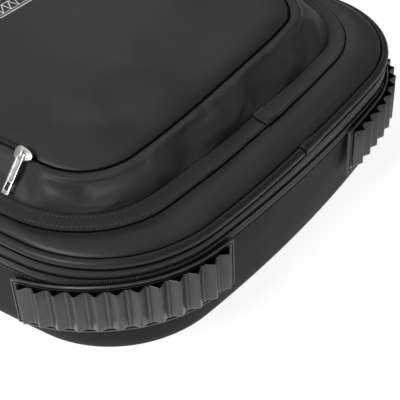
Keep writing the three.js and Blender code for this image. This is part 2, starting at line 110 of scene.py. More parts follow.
class Track:
    """An outline as stations: a point and an outward normal at each, for any inset."""

    def __init__(self, shape):
        centre, radius, angle = [], [], []
        for (x, y, r, start, end), steps in zip(outline_arcs(**shape), ARC_STEPS):
            for step in range(steps):
                centre.append((x, y))
                radius.append(r)
                angle.append(start + (end - start) * step / steps)
        self.centre = np.array(centre)
        self.radius = np.array(radius)
        angle = np.array(angle)
        self.normal = np.stack([np.cos(angle), np.sin(angle)], axis=1)
        self.count = len(angle)
        self.outward = np.column_stack([self.normal, np.zeros(self.count)])

    def at(self, inset):
        return self.centre + (self.radius - inset)[:, None] * self.normal

    def ring(self, inset, z):
        """One ring of points; inset and z may vary from station to station."""
        points = self.at(np.broadcast_to(inset, self.count))
        return np.column_stack([points, np.broadcast_to(z, self.count)])


BODY_TRACK = Track(BODY)
HEM_TRACK = Track(HEM)
SEAM_TRACK = Track(SEAM)


# Where the soft case has sunk or been pulled out of shape. Each entry is a station of an outline,
# counted anticlockwise from the left end of the front, and an amount in millimetres.
LID_SLUMP = {-60: 0, -45: -0.4, -40: -1.4, -28: -3.2, -19: -4.2, -10: -4.0, 0: -3.6, 8: -3.2,
             16: -1.8, 24: -0.2, 32: 0, 150: 0, 180: -2.0, 210: 0, 240: 0, 268: -2.0, 300: 0}
SEAM_SLUMP = {-50: 0, -40: -0.6, -34: -2.0, -28: -3.6, -20: -4.8, -10: -4.4, 0: -3.6, 8: -2.2,
              16: -0.8, 24: 1.2, 32: 2.2, 40: 1.6, 52: 0.4, 90: 0, 150: 0, 180: -2.0, 210: 0,
              240: 0, 268: -2.0, 300: 0}
SEAM_SHIFT = {-45: 0, -38: 0.6, -28: 2.0, -20: 3.4, -10: 3.2, 0: 2.6, 8: 1.6, 16: 0.6, 24: -0.5,
              32: -1.4, 40: -2.2, 48: -5.0, 54: -7.4, 60: -9.0, 72: -10.0, 80: -8.8, 92: -5.5,
              120: -2.5, 150: -3.5, 180: -5.0, 210: -1.5, 240: 0, 268: -2.0, 300: 0}


def along_stations(track, table):
    """A smooth closed curve through a table of amounts, at every station."""
    keys = np.array(sorted(table)) % track.count
    order = np.argsort(keys)
    keys = keys[order]
    values = np.array([table[key] for key in sorted(table)], float)[order] * MM
    stations = np.arange(track.count)
    curve = np.interp(stations, keys, values, period=track.count)
    blur = np.exp(-0.5 * (np.arange(-12, 13) / 4.5) ** 2)
    padded_curve = np.concatenate([curve[-12:], curve, curve[:12]])
    return np.convolve(padded_curve, blur / blur.sum(), mode="valid")


def lid_slump(track, share=1.0):
    return share * along_stations(track, LID_SLUMP)


def smooth_step(low, high, value):
    t = np.clip((np.asarray(value, float) - low) / (high - low), 0, 1)
    return t * t * (3 - 2 * t)


def waves(points, size, seed=0.0):
    """Smooth noise in -1..1 at each point, with features about as large as size."""
    out = np.empty(len(points))
    for i, (x, y, z) in enumerate(points):
        out[i] = noise.noise(Vector((x / size + seed, y / size - seed, z / size + 0.5 * seed)))
    return out


# ---------------------------------------------------------------- meshes


def new_object(name, mesh):
    obj = bpy.data.objects.new(name, mesh)
    bpy.context.scene.collection.objects.link(obj)
    return obj


def mesh_object(name, vertices, faces, materials, smooth=True, indices=None, uvs=None):
    mesh = bpy.data.meshes.new(name)
    mesh.from_pydata([tuple(v) for v in vertices], [], [tuple(f) for f in faces])
    for material in materials:
        mesh.materials.append(material)
    if indices is not None:
        mesh.polygons.foreach_set("material_index", np.asarray(indices, np.int32))
    mesh.polygons.foreach_set("use_smooth", np.full(len(mesh.polygons), smooth))
    if uvs is not None:
        layer = mesh.uv_layers.new(name="along")
        layer.data.foreach_set("uv", np.asarray(uvs, np.float32).ravel())
    mesh.update()
    return new_object(name, mesh)


def skin(name, rows, materials, closed=True, tube=False, caps=(False, False), bands=None):
    """A quad grid through rows of points, anticlockwise and from the bottom up outside.

    closed joins the ends of each row, tube joins the last row to the first, caps fill the
    first and last rows, and bands gives a material index for each band of faces. The UV map
    holds (distance along the row, distance across the rows)."""
    rows = np.asarray(rows, float)
    row_count, count, _ = rows.shape
    vertices = rows.reshape(-1, 3)
    last_row = row_count if tube else row_count - 1
    last = count if closed else count - 1
    middle = rows[row_count // 2]
    step = np.linalg.norm(np.roll(middle, -1, axis=0) - middle, axis=1)
    along = np.concatenate([[0], np.cumsum(step)])
    gaps = np.linalg.norm(np.diff(rows, axis=0), axis=2).mean(axis=1)
    across = np.concatenate([[0], np.cumsum(gaps), [np.sum(gaps)]])
    faces, indices, uvs = [], [], []
    for r in range(last_row):
        upper = (r + 1) % row_count
        for i in range(last):
            j = (i + 1) % count
            faces.append((r * count + i, r * count + j, upper * count + j, upper * count + i))
            indices.append(0 if bands is None else bands[r])
            uvs += [(along[i], across[r]), (along[i + 1], across[r]),
                    (along[i + 1], across[r + 1]), (along[i], across[r + 1])]
    for wanted, r, flip in ((caps[0], 0, True), (caps[1], row_count - 1, False)):
        if not wanted:
            continue
        vertices = np.vstack([vertices, rows[r].mean(axis=0)])
        hub = len(vertices) - 1
        for i in range(count):
            j = (i + 1) % count
            ends = (r * count + j, r * count + i) if flip else (r * count + i, r * count + j)
            faces.append((hub,) + ends)
            indices.append(0 if bands is None else bands[min(r, len(bands) - 1)])
            uvs += [(0, 0)] * 3
    return mesh_object(name, vertices, faces, materials, indices=indices, uvs=uvs)


def apply_modifiers(obj):
    depsgraph = bpy.context.evaluated_depsgraph_get()
    mesh = bpy.data.meshes.new_from_object(obj.evaluated_get(depsgraph), depsgraph=depsgraph)
    obj.modifiers.clear()
    obj.data = mesh
    return obj


BEVEL_ANGLE = math.radians(35)


def bevel(obj, width, segments):
    modifier = obj.modifiers.new("bevel", "BEVEL")
    modifier.width = width
    modifier.segments = segments
    modifier.limit_method = "ANGLE"
    modifier.angle_limit = BEVEL_ANGLE
    modifier.harden_normals = False
    apply_modifiers(obj)
    obj.data.polygons.foreach_set("use_smooth", np.full(len(obj.data.polygons), True))
    return smooth_by_angle(obj)


def edit_mesh(obj, change):
    """Makes one change to a piece's mesh, as a bmesh."""
    bm = bmesh.new()
    bm.from_mesh(obj.data)
    change(bm)
    bm.to_mesh(obj.data)
    bm.free()
    return obj


def face_outward(bm):
    bmesh.ops.recalc_face_normals(bm, faces=bm.faces[:])


def outward(obj):
    return edit_mesh(obj, face_outward)


def object_from(bm, name, materials):
    """A new object holding a bmesh, which is freed."""
    mesh = bpy.data.meshes.new(name)
    bm.to_mesh(mesh)
    bm.free()
    for material in materials:
        mesh.materials.append(material)
    return new_object(name, mesh)


def smooth_by_angle(obj, degrees=40):
    def mark(bm):
        for edge in bm.edges:
            if len(edge.link_faces) == 2:
                edge.smooth = edge.calc_face_angle() < math.radians(degrees)

    return edit_mesh(obj, mark)


def prism(name, points, low, high, materials, width=0.0, holes=(), segments=2):
    """A flat outline in X and Y, with optional holes, extruded in Z, with softened edges."""
    bm = bmesh.new()
    edges = []
    for loop in (points, *holes):
        corners = [bm.verts.new((x, y, low)) for x, y in loop]
        for i, corner in enumerate(corners):
            edges.append(bm.edges.new((corner, corners[(i + 1) % len(corners)])))
    bmesh.ops.triangle_fill(bm, use_beauty=True, use_dissolve=True, edges=edges)
    extruded = bmesh.ops.extrude_face_region(bm, geom=bm.faces[:])
    moved = [v for v in extruded["geom"] if isinstance(v, bmesh.types.BMVert)]
    bmesh.ops.translate(bm, vec=(0, 0, high - low), verts=moved)
    face_outward(bm)
    obj = object_from(bm, name, materials)
    return bevel(obj, width, segments) if width else smooth_by_angle(obj)


def transform(obj, matrix):
    obj.data.transform(matrix)
    if matrix.determinant() < 0:
        obj.data.flip_normals()
    obj.data.update()
    return obj


def merge(name, objects):
    """One object from several, keeping their materials."""
    bm = bmesh.new()
    materials = []
    for obj in objects:
        start = len(bm.faces)
        bm.from_mesh(obj.data)
        bm.faces.ensure_lookup_table()
        for face in bm.faces[start:]:
            material = obj.data.materials[face.material_index]
            if material not in materials:
                materials.append(material)
            face.material_index = materials.index(material)
        bpy.data.objects.remove(obj)
    return object_from(bm, name, materials)


def resample(points, spacing, closed=True):
    """Evenly spaced points along a line, with the unit tangent at each."""
    line = np.vstack([points, points[:1]]) if closed else np.asarray(points, float)
    step = np.linalg.norm(np.diff(line, axis=0), axis=1)
    distance = np.concatenate([[0], np.cumsum(step)])
    count = max(2, int(round(distance[-1] / spacing)))
    wanted = (np.arange(count) + 0.5) * distance[-1] / count
    spots = np.column_stack([np.interp(wanted, distance, line[:, k]) for k in range(3)])
    ahead = wanted + 0.2 * spacing
    further = np.column_stack([np.interp(ahead, distance, line[:, k]) for k in range(3)])
    tangents = further - spots
    return spots, tangents / np.linalg.norm(tangents, axis=1)[:, None]


def pill(length, width, height, rings=4, sides=6):
    """A small rounded bar along X, and its faces."""
    vertices = [(-length / 2, 0, 0)]
    for r in range(rings):
        t = (r + 0.5) / rings * 2 - 1
        swell = (1 - abs(t) ** 2.5) ** 0.5
        for s in range(sides):
            a = 2 * math.pi * s / sides
            vertices.append((t * length / 2, swell * width / 2 * math.cos(a),
                             swell * height / 2 * math.sin(a)))
    vertices.append((length / 2, 0, 0))
    faces = []
    for s in range(sides):
        n = (s + 1) % sides
        faces.append((0, 1 + n, 1 + s))
        tip = 1 + (rings - 1) * sides
        faces.append((len(vertices) - 1, tip + s, tip + n))
        for r in range(rings - 1):
            a = 1 + r * sides
            faces.append((a + s, a + n, a + sides + n, a + sides + s))
    return np.array(vertices), faces


def scatter(name, shape, spots, x_axes, z_axes, material):
    """Copies of one small shape, each with its X and Z along the given directions."""
    vertices, faces = shape
    y_axes = np.cross(z_axes, x_axes)
    y_axes /= np.linalg.norm(y_axes, axis=1)[:, None]
    z_axes = np.cross(x_axes, y_axes)
    placed = (spots[:, None, :] + vertices[None, :, 0:1] * x_axes[:, None, :]
              + vertices[None, :, 1:2] * y_axes[:, None, :]
              + vertices[None, :, 2:3] * z_axes[:, None, :])
    size = len(vertices)
    all_faces = [tuple(v + i * size for v in face) for i in range(len(spots)) for face in faces]
    return mesh_object(name, placed.reshape(-1, 3), all_faces, [material])


def stitches(name, line, up, material, pitch=3.2 * MM, length=2.5 * MM, closed=True):
    """A row of thread stitches along a line; up is one direction or one for each stitch."""
    spots, tangents = resample(line, pitch, closed)
    up = up(spots) if callable(up) else np.broadcast_to(np.asarray(up, float), spots.shape)
    return scatter(name, pill(length, 0.75 * MM, 0.7 * MM), spots, tangents, up, material)


def fill_ends(obj):
    def fill(bm):
        open_edges = [edge for edge in bm.edges if edge.is_boundary]
        bmesh.ops.holes_fill(bm, edges=open_edges, sides=0)
        face_outward(bm)

    return edit_mesh(obj, fill)


def open_tube(name, rows, materials, bands=None):
    """A skin whose rows go round a section, with flat ends."""
    return fill_ends(skin(name, rows, materials, closed=False, tube=True, bands=bands))


def sweep(name, path, section, material, closed, width_axis=(0, 1, 0)):
    """A section (along width_axis, across it) swept along a path in a plane."""
    path = np.asarray(path, float)
    if closed:
        tangent = np.roll(path, -1, axis=0) - np.roll(path, 1, axis=0)
    else:
        tangent = np.gradient(path, axis=0)
    tangent /= np.linalg.norm(tangent, axis=1)[:, None]
    axis = np.broadcast_to(np.asarray(width_axis, float), path.shape)
    axis = axis - (axis * tangent).sum(axis=1)[:, None] * tangent
    axis = axis / np.linalg.norm(axis, axis=1)[:, None]
    across = np.cross(tangent, axis)
    rows = [path + u * axis + v * across for u, v in section]
    if closed:
        return outward(skin(name, rows, [material], tube=True))
    return open_tube(name, rows, [material])


def arc_points(x, y, radius, start, end, count):
    angles = np.radians(np.linspace(start, end, count))
    return [(x + radius * math.cos(a), y + radius * math.sin(a)) for a in angles]


def rounded_box(x0, x1, y0, y1, radius, count=5):
    return (arc_points(x1 - radius, y1 - radius, radius, 0, 90, count)
            + arc_points(x0 + radius, y1 - radius, radius, 90, 180, count)
            + arc_points(x0 + radius, y0 + radius, radius, 180, 270, count)
            + arc_points(x1 - radius, y0 + radius, radius, 270, 360, count))


def signed_power(value, power):
    """A power of a number's size, with its sign kept: it squares off or points a circle."""
    return math.copysign(abs(value) ** power, value)


def circle_section(radius, count=12):
    return [(radius * math.cos(2 * math.pi * k / count), radius * math.sin(2 * math.pi * k / count))
            for k in range(count)]


def flat_section(half_width, half_thickness, soft):
    """A flat strap: (through its thickness, across its width)."""
    return rounded_box(-half_thickness, half_thickness, -half_width, half_width, soft, 4)


def declare(obj, body, slot, *nodes):
    """Says which body a piece rides on and the parts it stands for; slot is not used."""
    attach(obj, body)
    if nodes:
        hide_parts(*nodes)


# ---------------------------------------------------------------- materials


class Paint:
    """Short ways to add nodes to one material."""

    def __init__(self, name):
        self.material = bpy.data.materials.new(name)
        self.material.use_nodes = True
        self.nodes = self.material.node_tree.nodes
        self.links = self.material.node_tree.links
        self.shader = self.nodes["Principled BSDF"]
        self.position = self.nodes.new("ShaderNodeTexCoord").outputs["Object"]

    def feed(self, socket, value):
        """Links an input to another node's output, or gives it a plain value."""
        if isinstance(value, bpy.types.NodeSocket):
            self.links.new(value, socket)
        else:
            socket.default_value = value

    def node(self, kind, inputs=None, **settings):
        node = self.nodes.new(kind)
        for key, value in settings.items():
            setattr(node, key, value)
        for key, value in (inputs or {}).items():
            self.feed(node.inputs[key], value)
        return node

    def noise(self, scale, detail=2.0, vector=None):
        inputs = {"Vector": vector or self.position, "Scale": scale, "Detail": detail}
        return self.node("ShaderNodeTexNoise", inputs).outputs["Fac"]

    def cells(self, scale, feature="F1"):
        node = self.node("ShaderNodeTexVoronoi", {"Vector": self.position, "Scale": scale},
                         feature=feature)
        return node.outputs["Distance"]

    def mix(self, factor, a, b):
        return self.node("ShaderNodeMix", {0: factor, 6: a, 7: b}, data_type="RGBA").outputs[2]

    def math(self, operation, a, b=0.0):
        return self.node("ShaderNodeMath", {0: a, 1: b}, operation=operation).outputs[0]

    def remap(self, value, from_low, from_high, to_low, to_high):
        inputs = {"Value": value, "From Min": from_low, "From Max": from_high,
                  "To Min": to_low, "To Max": to_high}
        return self.node("ShaderNodeMapRange", inputs).outputs["Result"]

    def bump(self, height, distance, strength=1.0, below=None):
        inputs = {"Height": height, "Distance": distance, "Strength": strength}
        if below is not None:
            inputs["Normal"] = below
        return self.node("ShaderNodeBump", inputs).outputs["Normal"]

    def set(self, **values):
        for key, value in values.items():
            self.feed(self.shader.inputs[key.replace("_", " ")], value)
        return self.material


def grey(value):
    return (value, value, value, 1)


def warm(value):
    """A near black with the faint warm cast of the leather cloth."""
    return (value * 1.03, value * 0.98, value, 1)


def leather_material(name, shade, roughness=0.47, grain=0.00006, gloss=0.38):
    paint = Paint(name)
    patches = paint.noise(22, 3)
    fine = paint.noise(2600, 3)
    pores = paint.cells(1250, "DISTANCE_TO_EDGE")
    color = paint.mix(paint.remap(patches, 0.3, 0.7, 0, 1), warm(shade * 0.82), warm(shade * 1.2))
    color = paint.mix(paint.remap(pores, 0.0, 0.12, 0.35, 0), color, warm(shade * 0.5))
    rough = paint.remap(patches, 0.25, 0.75, roughness - 0.05, roughness + 0.07)
    creases = paint.bump(paint.noise(160, 4), 0.00012, 0.5)
    normal = paint.bump(pores, grain, 0.8, creases)
    normal = paint.bump(fine, grain * 0.4, 0.6, normal)
    return paint.set(Base_Color=color, Roughness=rough, Normal=normal, Specular_IOR_Level=gloss)


def woven_material(name, shade, pitch=0.0007, roughness=0.8, rib_pitch=None, relief=0.00015):
    """A woven tape: fine yarns across it, in the mesh's own length and width."""
    paint = Paint(name)
    uv = paint.nodes.new("ShaderNodeUVMap")
    uv.uv_map = "along"
    split = paint.node("ShaderNodeSeparateXYZ", {"Vector": uv.outputs["UV"]})

    def ridges(value, size):
        return paint.math("SINE", paint.math("MULTIPLY", value, 2 * math.pi / size))

    along = ridges(split.outputs["X"], rib_pitch or pitch)
    across = ridges(split.outputs["Y"], pitch)
    weave = paint.math("ADD", paint.math("MULTIPLY", along, 0.6), paint.math("MULTIPLY", across, 0.4))
    lint = paint.noise(900, 3)
    color = paint.mix(paint.remap(weave, -1, 1, 0, 1), warm(shade * 0.6), warm(shade * 1.35))
    color = paint.mix(paint.remap(lint, 0.4, 0.8, 0, 0.3), color, warm(shade * 1.6))
    normal = paint.bump(weave, relief, 0.7)
    normal = paint.bump(lint, 0.00006, 0.4, normal)
    return paint.set(Base_Color=color, Roughness=roughness, Normal=normal, Sheen_Weight=0.12,
                     Sheen_Roughness=0.5)


def rubber_material():
    paint = Paint("rubber")
    cloud = paint.noise(40, 3)
    speck = paint.noise(3000, 2)
    color = paint.mix(paint.remap(cloud, 0.3, 0.7, 0, 1), grey(0.042), grey(0.055))
    rough = paint.remap(cloud, 0.3, 0.7, 0.26, 0.36)
    return paint.set(Base_Color=color, Roughness=rough, Normal=paint.bump(speck, 0.00003, 0.6),
                     Specular_IOR_Level=0.62)


def foam_material():
    paint = Paint("foam")
    cells = paint.cells(1100)
    patches = paint.noise(60, 3)
    color = paint.mix(paint.remap(cells, 0, 0.7, 0, 1), grey(0.006), grey(0.028))
    color = paint.mix(paint.remap(patches, 0.3, 0.7, 0, 0.35), color, grey(0.035))
    normal = paint.bump(cells, 0.0003, 0.6)
    return paint.set(Base_Color=color, Roughness=0.95, Normal=normal, Specular_IOR_Level=0.2)


def lining_material():
    paint = Paint("lining")
    inputs = {"Vector": paint.position, "Scale": 160.0, "Distortion": 0.4}
    yarns = [paint.node("ShaderNodeTexWave", inputs, bands_direction=axis) for axis in "XY"]
    weave = paint.math("MULTIPLY", *[yarn.outputs["Fac"] for yarn in yarns])
    patches = paint.noise(30, 3)
    color = paint.mix(weave, grey(0.010), grey(0.022))
    color = paint.mix(paint.remap(patches, 0.3, 0.7, 0, 0.4), color, grey(0.016))
    return paint.set(Base_Color=color, Roughness=0.85, Normal=paint.bump(weave, 0.0001, 0.5),
                     Sheen_Weight=0.2)


NICKEL_DARK = (0.80, 0.79, 0.77, 1)
NICKEL_LIGHT = (0.88, 0.87, 0.85, 1)


def metal_material():
    paint = Paint("nickel")
    smear = paint.noise(350, 3)
    color = paint.mix(paint.remap(smear, 0.3, 0.7, 0, 1), NICKEL_DARK, NICKEL_LIGHT)
    rough = paint.remap(smear, 0.3, 0.7, 0.32, 0.42)
    normal = paint.bump(paint.noise(900, 2), 0.00002, 0.3)
    return paint.set(Base_Color=color, Metallic=1.0, Roughness=rough, Normal=normal)


def print_material():
    paint = Paint("print")
    grain = paint.noise(1500, 3)
    color = paint.mix(paint.remap(grain, 0.35, 0.6, 0, 1), grey(0.55), grey(0.82))
    return paint.set(Base_Color=color, Roughness=0.6, Normal=paint.bump(grain, 0.00004, 0.5))


def twisted_material(name, scale, dark, light, **finish):
    """Thread or cord, with a fine uneven twist."""
    paint = Paint(name)
    twist = paint.noise(scale, 2)
    color = paint.mix(twist, grey(dark), grey(light))
    return paint.set(Base_Color=color, Normal=paint.bump(twist, 0.00005, 0.5), **finish)


def coil_material():
    paint = Paint("zip_coil")
    tone = paint.noise(700, 2)
    color = paint.mix(tone, grey(0.033), grey(0.055))
    rough = paint.remap(tone, 0.3, 0.7, 0.3, 0.42)
    return paint.set(Base_Color=color, Roughness=rough, Normal=paint.bump(tone, 0.00002, 0.3))


LEATHER = leather_material("leather", 0.021, roughness=0.46, gloss=0.42)
GUSSET = leather_material("leather_gusset", 0.032, roughness=0.55, gloss=0.34)
TRIM = leather_material("leather_trim", 0.014, roughness=0.47, grain=0.00004)
# The wall's leather is darker than the lid's as painted shade, offsetting the light that the bright
# floor throws on the walls.
WALL = leather_material("leather_wall", 0.0125, roughness=0.6, gloss=0.15)
TAPE = woven_material("zip_tape", 0.012, pitch=0.0008, rib_pitch=0.0011)
BINDING = woven_material("binding", 0.0105, pitch=0.0009, rib_pitch=0.0013, roughness=0.72,
                         relief=0.00025)
WEB = woven_material("webbing", 0.014, pitch=0.0016, rib_pitch=0.0016)
RUBBER = rubber_material()
FOAM = foam_material()
LINING = lining_material()
METAL = metal_material()
PRINT = print_material()
THREAD = twisted_material("thread", 2500, 0.030, 0.060, Roughness=0.55, Sheen_Weight=0.1)
# Near-black painted shade, laid as cords and plates in grooves and gaps where shade falls.
PAINTED_SHADE = twisted_material("seam_shadow", 1200, 0.0015, 0.004, Roughness=0.95,
                             Specular_IOR_Level=0.05)
COIL = coil_material()

# ---------------------------------------------------------------- camera, light and floor

CAMERA = dict(azimuth=-50.97, elevation=39.33, roll=-2.91, lens=90.76,
              place=(-0.4485, -0.5017, 0.4717))
LIGHT_TARGET = Vector((0, 0, 0.05))
FLOOR_HALF = 6.0


def add_camera():
    azimuth = math.radians(CAMERA["azimuth"])
    elevation = math.radians(CAMERA["elevation"])
    roll = math.radians(CAMERA["roll"])
    back = Vector((math.sin(azimuth) * math.cos(elevation),
                   -math.cos(azimuth) * math.cos(elevation), math.sin(elevation)))
    right = Vector((0, 0, 1)).cross(back).normalized()
    up = back.cross(right)
    turned_right = right * math.cos(roll) + up * math.sin(roll)
    turned_up = up * math.cos(roll) - right * math.sin(roll)
    rotation = Matrix((turned_right, turned_up, back)).transposed().to_4x4()
    data = bpy.data.cameras.new("camera")
    data.lens = CAMERA["lens"]
    data.sensor_width = 36
    data.clip_end = 20
    camera = new_object("camera", data)
    camera.matrix_world = Matrix.Translation(CAMERA["place"]) @ rotation
    bpy.context.scene.camera = camera


def add_light(name, place, size, power):
    data = bpy.data.lights.new(name, "AREA")
    data.shape = "RECTANGLE"
    data.size, data.size_y = size
    data.energy = power
    light = new_object(name, data)
    light.location = place
    toward = LIGHT_TARGET - Vector(place)
    light.rotation_euler = toward.to_track_quat("-Z", "Y").to_euler()


def add_studio():
    world = bpy.data.worlds.new("studio")
    bpy.context.scene.world = world
    world.use_nodes = True
    background = world.node_tree.nodes["Background"]
    background.inputs["Color"].default_value = (1, 1, 1, 1)
    background.inputs["Strength"].default_value = 0.2
    add_light("overhead", (-0.2, 0.5, 1.7), (1.8, 1.6), 6.5)
    add_light("key", (-1.3, -0.1, 1.1), (0.55, 0.55), 17)
    add_light("sheen", (1.35, 1.25, 1.35), (0.8, 0.5), 2.0)
    floor_paint = Paint("floor")
    tone = floor_paint.noise(3, 2)
    color = floor_paint.mix(tone, grey(0.22), grey(0.24))
    floor_material = floor_paint.set(Base_Color=color, Roughness=0.9, Specular_IOR_Level=0.0,
                                     Emission_Color=(1, 1, 1, 1), Emission_Strength=0.9)
    corners = [(x * FLOOR_HALF, y * FLOOR_HALF, 0) for x, y in ((-1, -1), (1, -1), (1, 1), (-1, 1))]
    floor = mesh_object("floor", corners, [(0, 1, 2, 3)], [floor_material])
    bpy.context.scene.view_settings.view_transform = "Standard"


add_camera()
add_studio()

# ---------------------------------------------------------------- base

# (height, inset from the outline) from the ground to the rim
WALL_PROFILE = np.array([
    (0.0, 15.0), (0.35, 13.2), (1.2, 11.6), (2.6, 10.2), (4.5, 9.1), (8, 7.9), (13, 6.9),
    (20, 5.9), (28, 4.9), (36, 4.0), (45, 3.1), (54, 2.3), (60, 1.8), (62.8, 1.6),
]) * MM
WALL_THICKNESS = 6 * MM
# (inset, drop from the top) across the rim
RIM_PROFILE = np.array([(2.2, 0.4), (3.2, 0.0), (6.0, 0.0)]) * MM
# Rings under the case, down the lining and across the inside of the floor
GROUND_INSETS = np.array([70, 24, 17]) * MM
LINING_HEIGHTS = np.array([62, 50, 36, 24, 13]) * MM
FLOOR_INSETS = np.array([17, 60]) * MM
WALL_STITCH_Z = 60.2 * MM


def wall_inset(z):
    return np.interp(z, WALL_PROFILE[:, 0], WALL_PROFILE[:, 1])


def add_base():
    track = BODY_TRACK
    top = SHELL[1].z
    rows = [track.ring(inset, 0.0) for inset in GROUND_INSETS]
    for z, inset in WALL_PROFILE:
        rough = waves(track.ring(inset, z), 55 * MM, 3.0)
        dent = 0.7 * MM * rough * smooth_step(2 * MM, 20 * MM, z) * (1 - (z / top)**4)
        rows.append(track.ring(inset + dent, z))
    outside = len(rows)
    rows += [track.ring(inset, top - drop) for inset, drop in RIM_PROFILE]
    rows += [track.ring(wall_inset(z) + WALL_THICKNESS, z) for z in LINING_HEIGHTS]
    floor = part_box("floor_board")[0].z - 0.3 * MM
    rows += [track.ring(inset, floor) for inset in FLOOR_INSETS]
    bands = [0] * outside + [1] * (len(rows) - outside)
    wall = skin("case_wall", rows, [WALL, LINING], caps=(True, True), bands=bands)
    declare(wall, "base", "leather", "base_shell")

    line = track.ring(wall_inset(WALL_STITCH_Z) - 0.15 * MM, WALL_STITCH_Z)
    thread = stitches("wall_stitching", line, nearest_normal(line, track.outward), THREAD)
    declare(thread, "base", "webbing")


def shade_cord(name, track, inset, z, body, radius, part=None):
    """A near-black cord of painted shade lying in the groove of a seam, all round or along part of
    it.
    """
    rows = []
    for k in range(6):
        angle = 2 * math.pi * k / 6
        rows.append(track.ring(inset - radius * math.cos(angle), z + radius * math.sin(angle)))
    if part is None:
        cord = skin(name, rows, [PAINTED_SHADE], tube=True)
    else:
        cord = open_tube(name, np.array(rows)[:, part], [PAINTED_SHADE])
    declare(cord, body, "webbing")


def inner_rings(ring, count):
    """Rings that shrink from one ring towards its centre, keeping their height."""
    centre = ring.mean(axis=0)
    shares = np.linspace(1, 0, count + 1)[1:-1]
    return [centre + (ring - centre) * np.array([share, share, 1]) for share in shares]


def nearest_normal(line, normals):
    """A lookup of the normal at the station nearest to each spot."""
    def find(spots):
        distance = ((spots[:, None, :] - line[None, ::4, :]) ** 2).sum(axis=2)
        return normals[::4][distance.argmin(axis=1)]
    return find


add_base()

# ---------------------------------------------------------------- zip bands and coils

COIL_PITCH = 1.45 * MM
COIL_SLANT = 0.18
ZIP_LINE = (LOWER_COIL[1].z + UPPER_COIL[0].z) / 2
PIPING_MIDDLE = (PIPING[0].z + PIPING[1].z) / 2 + 1.3 * MM


def hinge_gap(track):
    """True at the stations behind the hinge strip, where there is no zip."""
    point = track.at(0)
    return (point[:, 0] > 0) & (np.abs(point[:, 1]) < HINGE_BASE[1].y)


def opened(track):
    """Station numbers of the zipped part, in order, from one end of the hinge to the other."""
    gap = hinge_gap(track)
    start = int(np.flatnonzero(gap & ~np.roll(gap, -1))[0]) + 1
    return (start + np.arange(track.count - gap.sum())) % track.count


def band(name, profile, material, body, node, part):
    """A band beside the zip; profile goes round it as (inset, level, rise above that level)."""
    rows = []
    for inset, level, rise in profile:
        z = level + rise * MM
        share = smooth_step(ZIP_LINE, PIPING_MIDDLE - 4 * MM, z)
        rows.append(BODY_TRACK.ring(inset * MM, z + lid_slump(BODY_TRACK, share)))
    declare(open_tube(name, np.array(rows)[:, part], [material]), body, "webbing", node)


def coil_turns(name, shape, spots, tangents, up):
    """Small bars standing across a tape, a little slanted."""
    bars = np.cross(up, tangents) + COIL_SLANT * tangents
    bars /= np.linalg.norm(bars, axis=1)[:, None]
    return scatter(name, shape, spots, bars, up, COIL)


def add_coil(name, inset, z, part, body, node, height):
    ring = BODY_TRACK.ring(inset, z)
    spots, tangents = resample(ring[part], COIL_PITCH, closed=False)
    out = nearest_normal(ring, BODY_TRACK.outward)(spots)
    coil = coil_turns(name, pill(height, 0.82 * MM, 0.9 * MM), spots, tangents, out)
    declare(coil, body, "webbing", node)


def add_main_zip():
    part = opened(BODY_TRACK)
    teeth = ZIP_LINE
    low = LOWER_TAPE[0].z
    high = UPPER_TAPE[1].z + 1.2 * MM
    lower = [(2.2, low, -1.0), (0.9, low, -0.6), (0.75, low, 1.5), (0.8, teeth, -0.6),
             (1.2, teeth, -0.25), (2.4, teeth, -0.3), (2.6, low, 0)]
    band("zip_tape_lower", lower, TAPE, "base", "zip_lower_tape", part)
    upper = [(2.6, teeth, 0.5), (1.4, teeth, 0.35), (0.45, teeth, 0.9), (0.1, teeth, 2.4),
             (0.05, teeth, 5.2), (0.5, high, -0.9), (1.5, high, 0), (2.8, high, 0)]
    band("zip_tape_upper", upper, TRIM, "lid", "zip_upper_tape", part)
    # A dark cord of painted shade in the gap along the teeth.
    shade_cord("zip_teeth_gap_shade", BODY_TRACK, -0.25 * MM, teeth + 0.25 * MM, "lid", 0.45 * MM, part)
    add_coil("zip_coil_lower", 0.35 * MM, teeth - 1.75 * MM, part, "base", "zip_lower_coil",
             height=3.1 * MM)
    add_coil("zip_coil_upper", 0.55 * MM, teeth + 0.45 * MM, part, "lid", "zip_upper_coil",
             height=1.5 * MM)


def add_hinge():
    """One strip of leather sewn to the wall and to the lid, bowed out a little across the hinge line.
    """
    track = BODY_TRACK
    gap = np.flatnonzero(np.abs(track.at(0)[:, 1]) < HINGE_BASE[1].y + 5 * MM)
    part = gap[track.at(0)[gap, 0] > 0]
    low = HINGE_BASE[0].z - 1.5 * MM
    high = HINGE_LID[1].z + 1.5 * MM
    heights = np.linspace(low, high, 15)
    outer = [track.ring(0.2 * MM - 0.5 * MM * math.sin(math.pi * (z - low) / (high - low)), z)
             for z in heights]
    inner = [ring - 1.3 * MM * track.outward for ring in reversed(outer)]
    strip = open_tube("hinge_strip", np.array(outer + inner)[:, part], [TRIM])
    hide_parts("hinge_strip_base", "hinge_strip_lid")
    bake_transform(strip)


add_main_zip()
add_hinge()

# ---------------------------------------------------------------- lid

PIPING_RADIUS = (3.1 * MM, 3.0 * MM)
PIPING_INSET = 2.0 * MM
PANEL_EDGE = 3.9 * MM


def piping_join(track):
    """1 at the spot in the middle of the front where the piping's ends overlap."""
    point = track.at(0)
    near = np.exp(-((point[:, 0] + 4 * MM) / (3 * MM)) ** 2)
    return near * (point[:, 1] < 0)


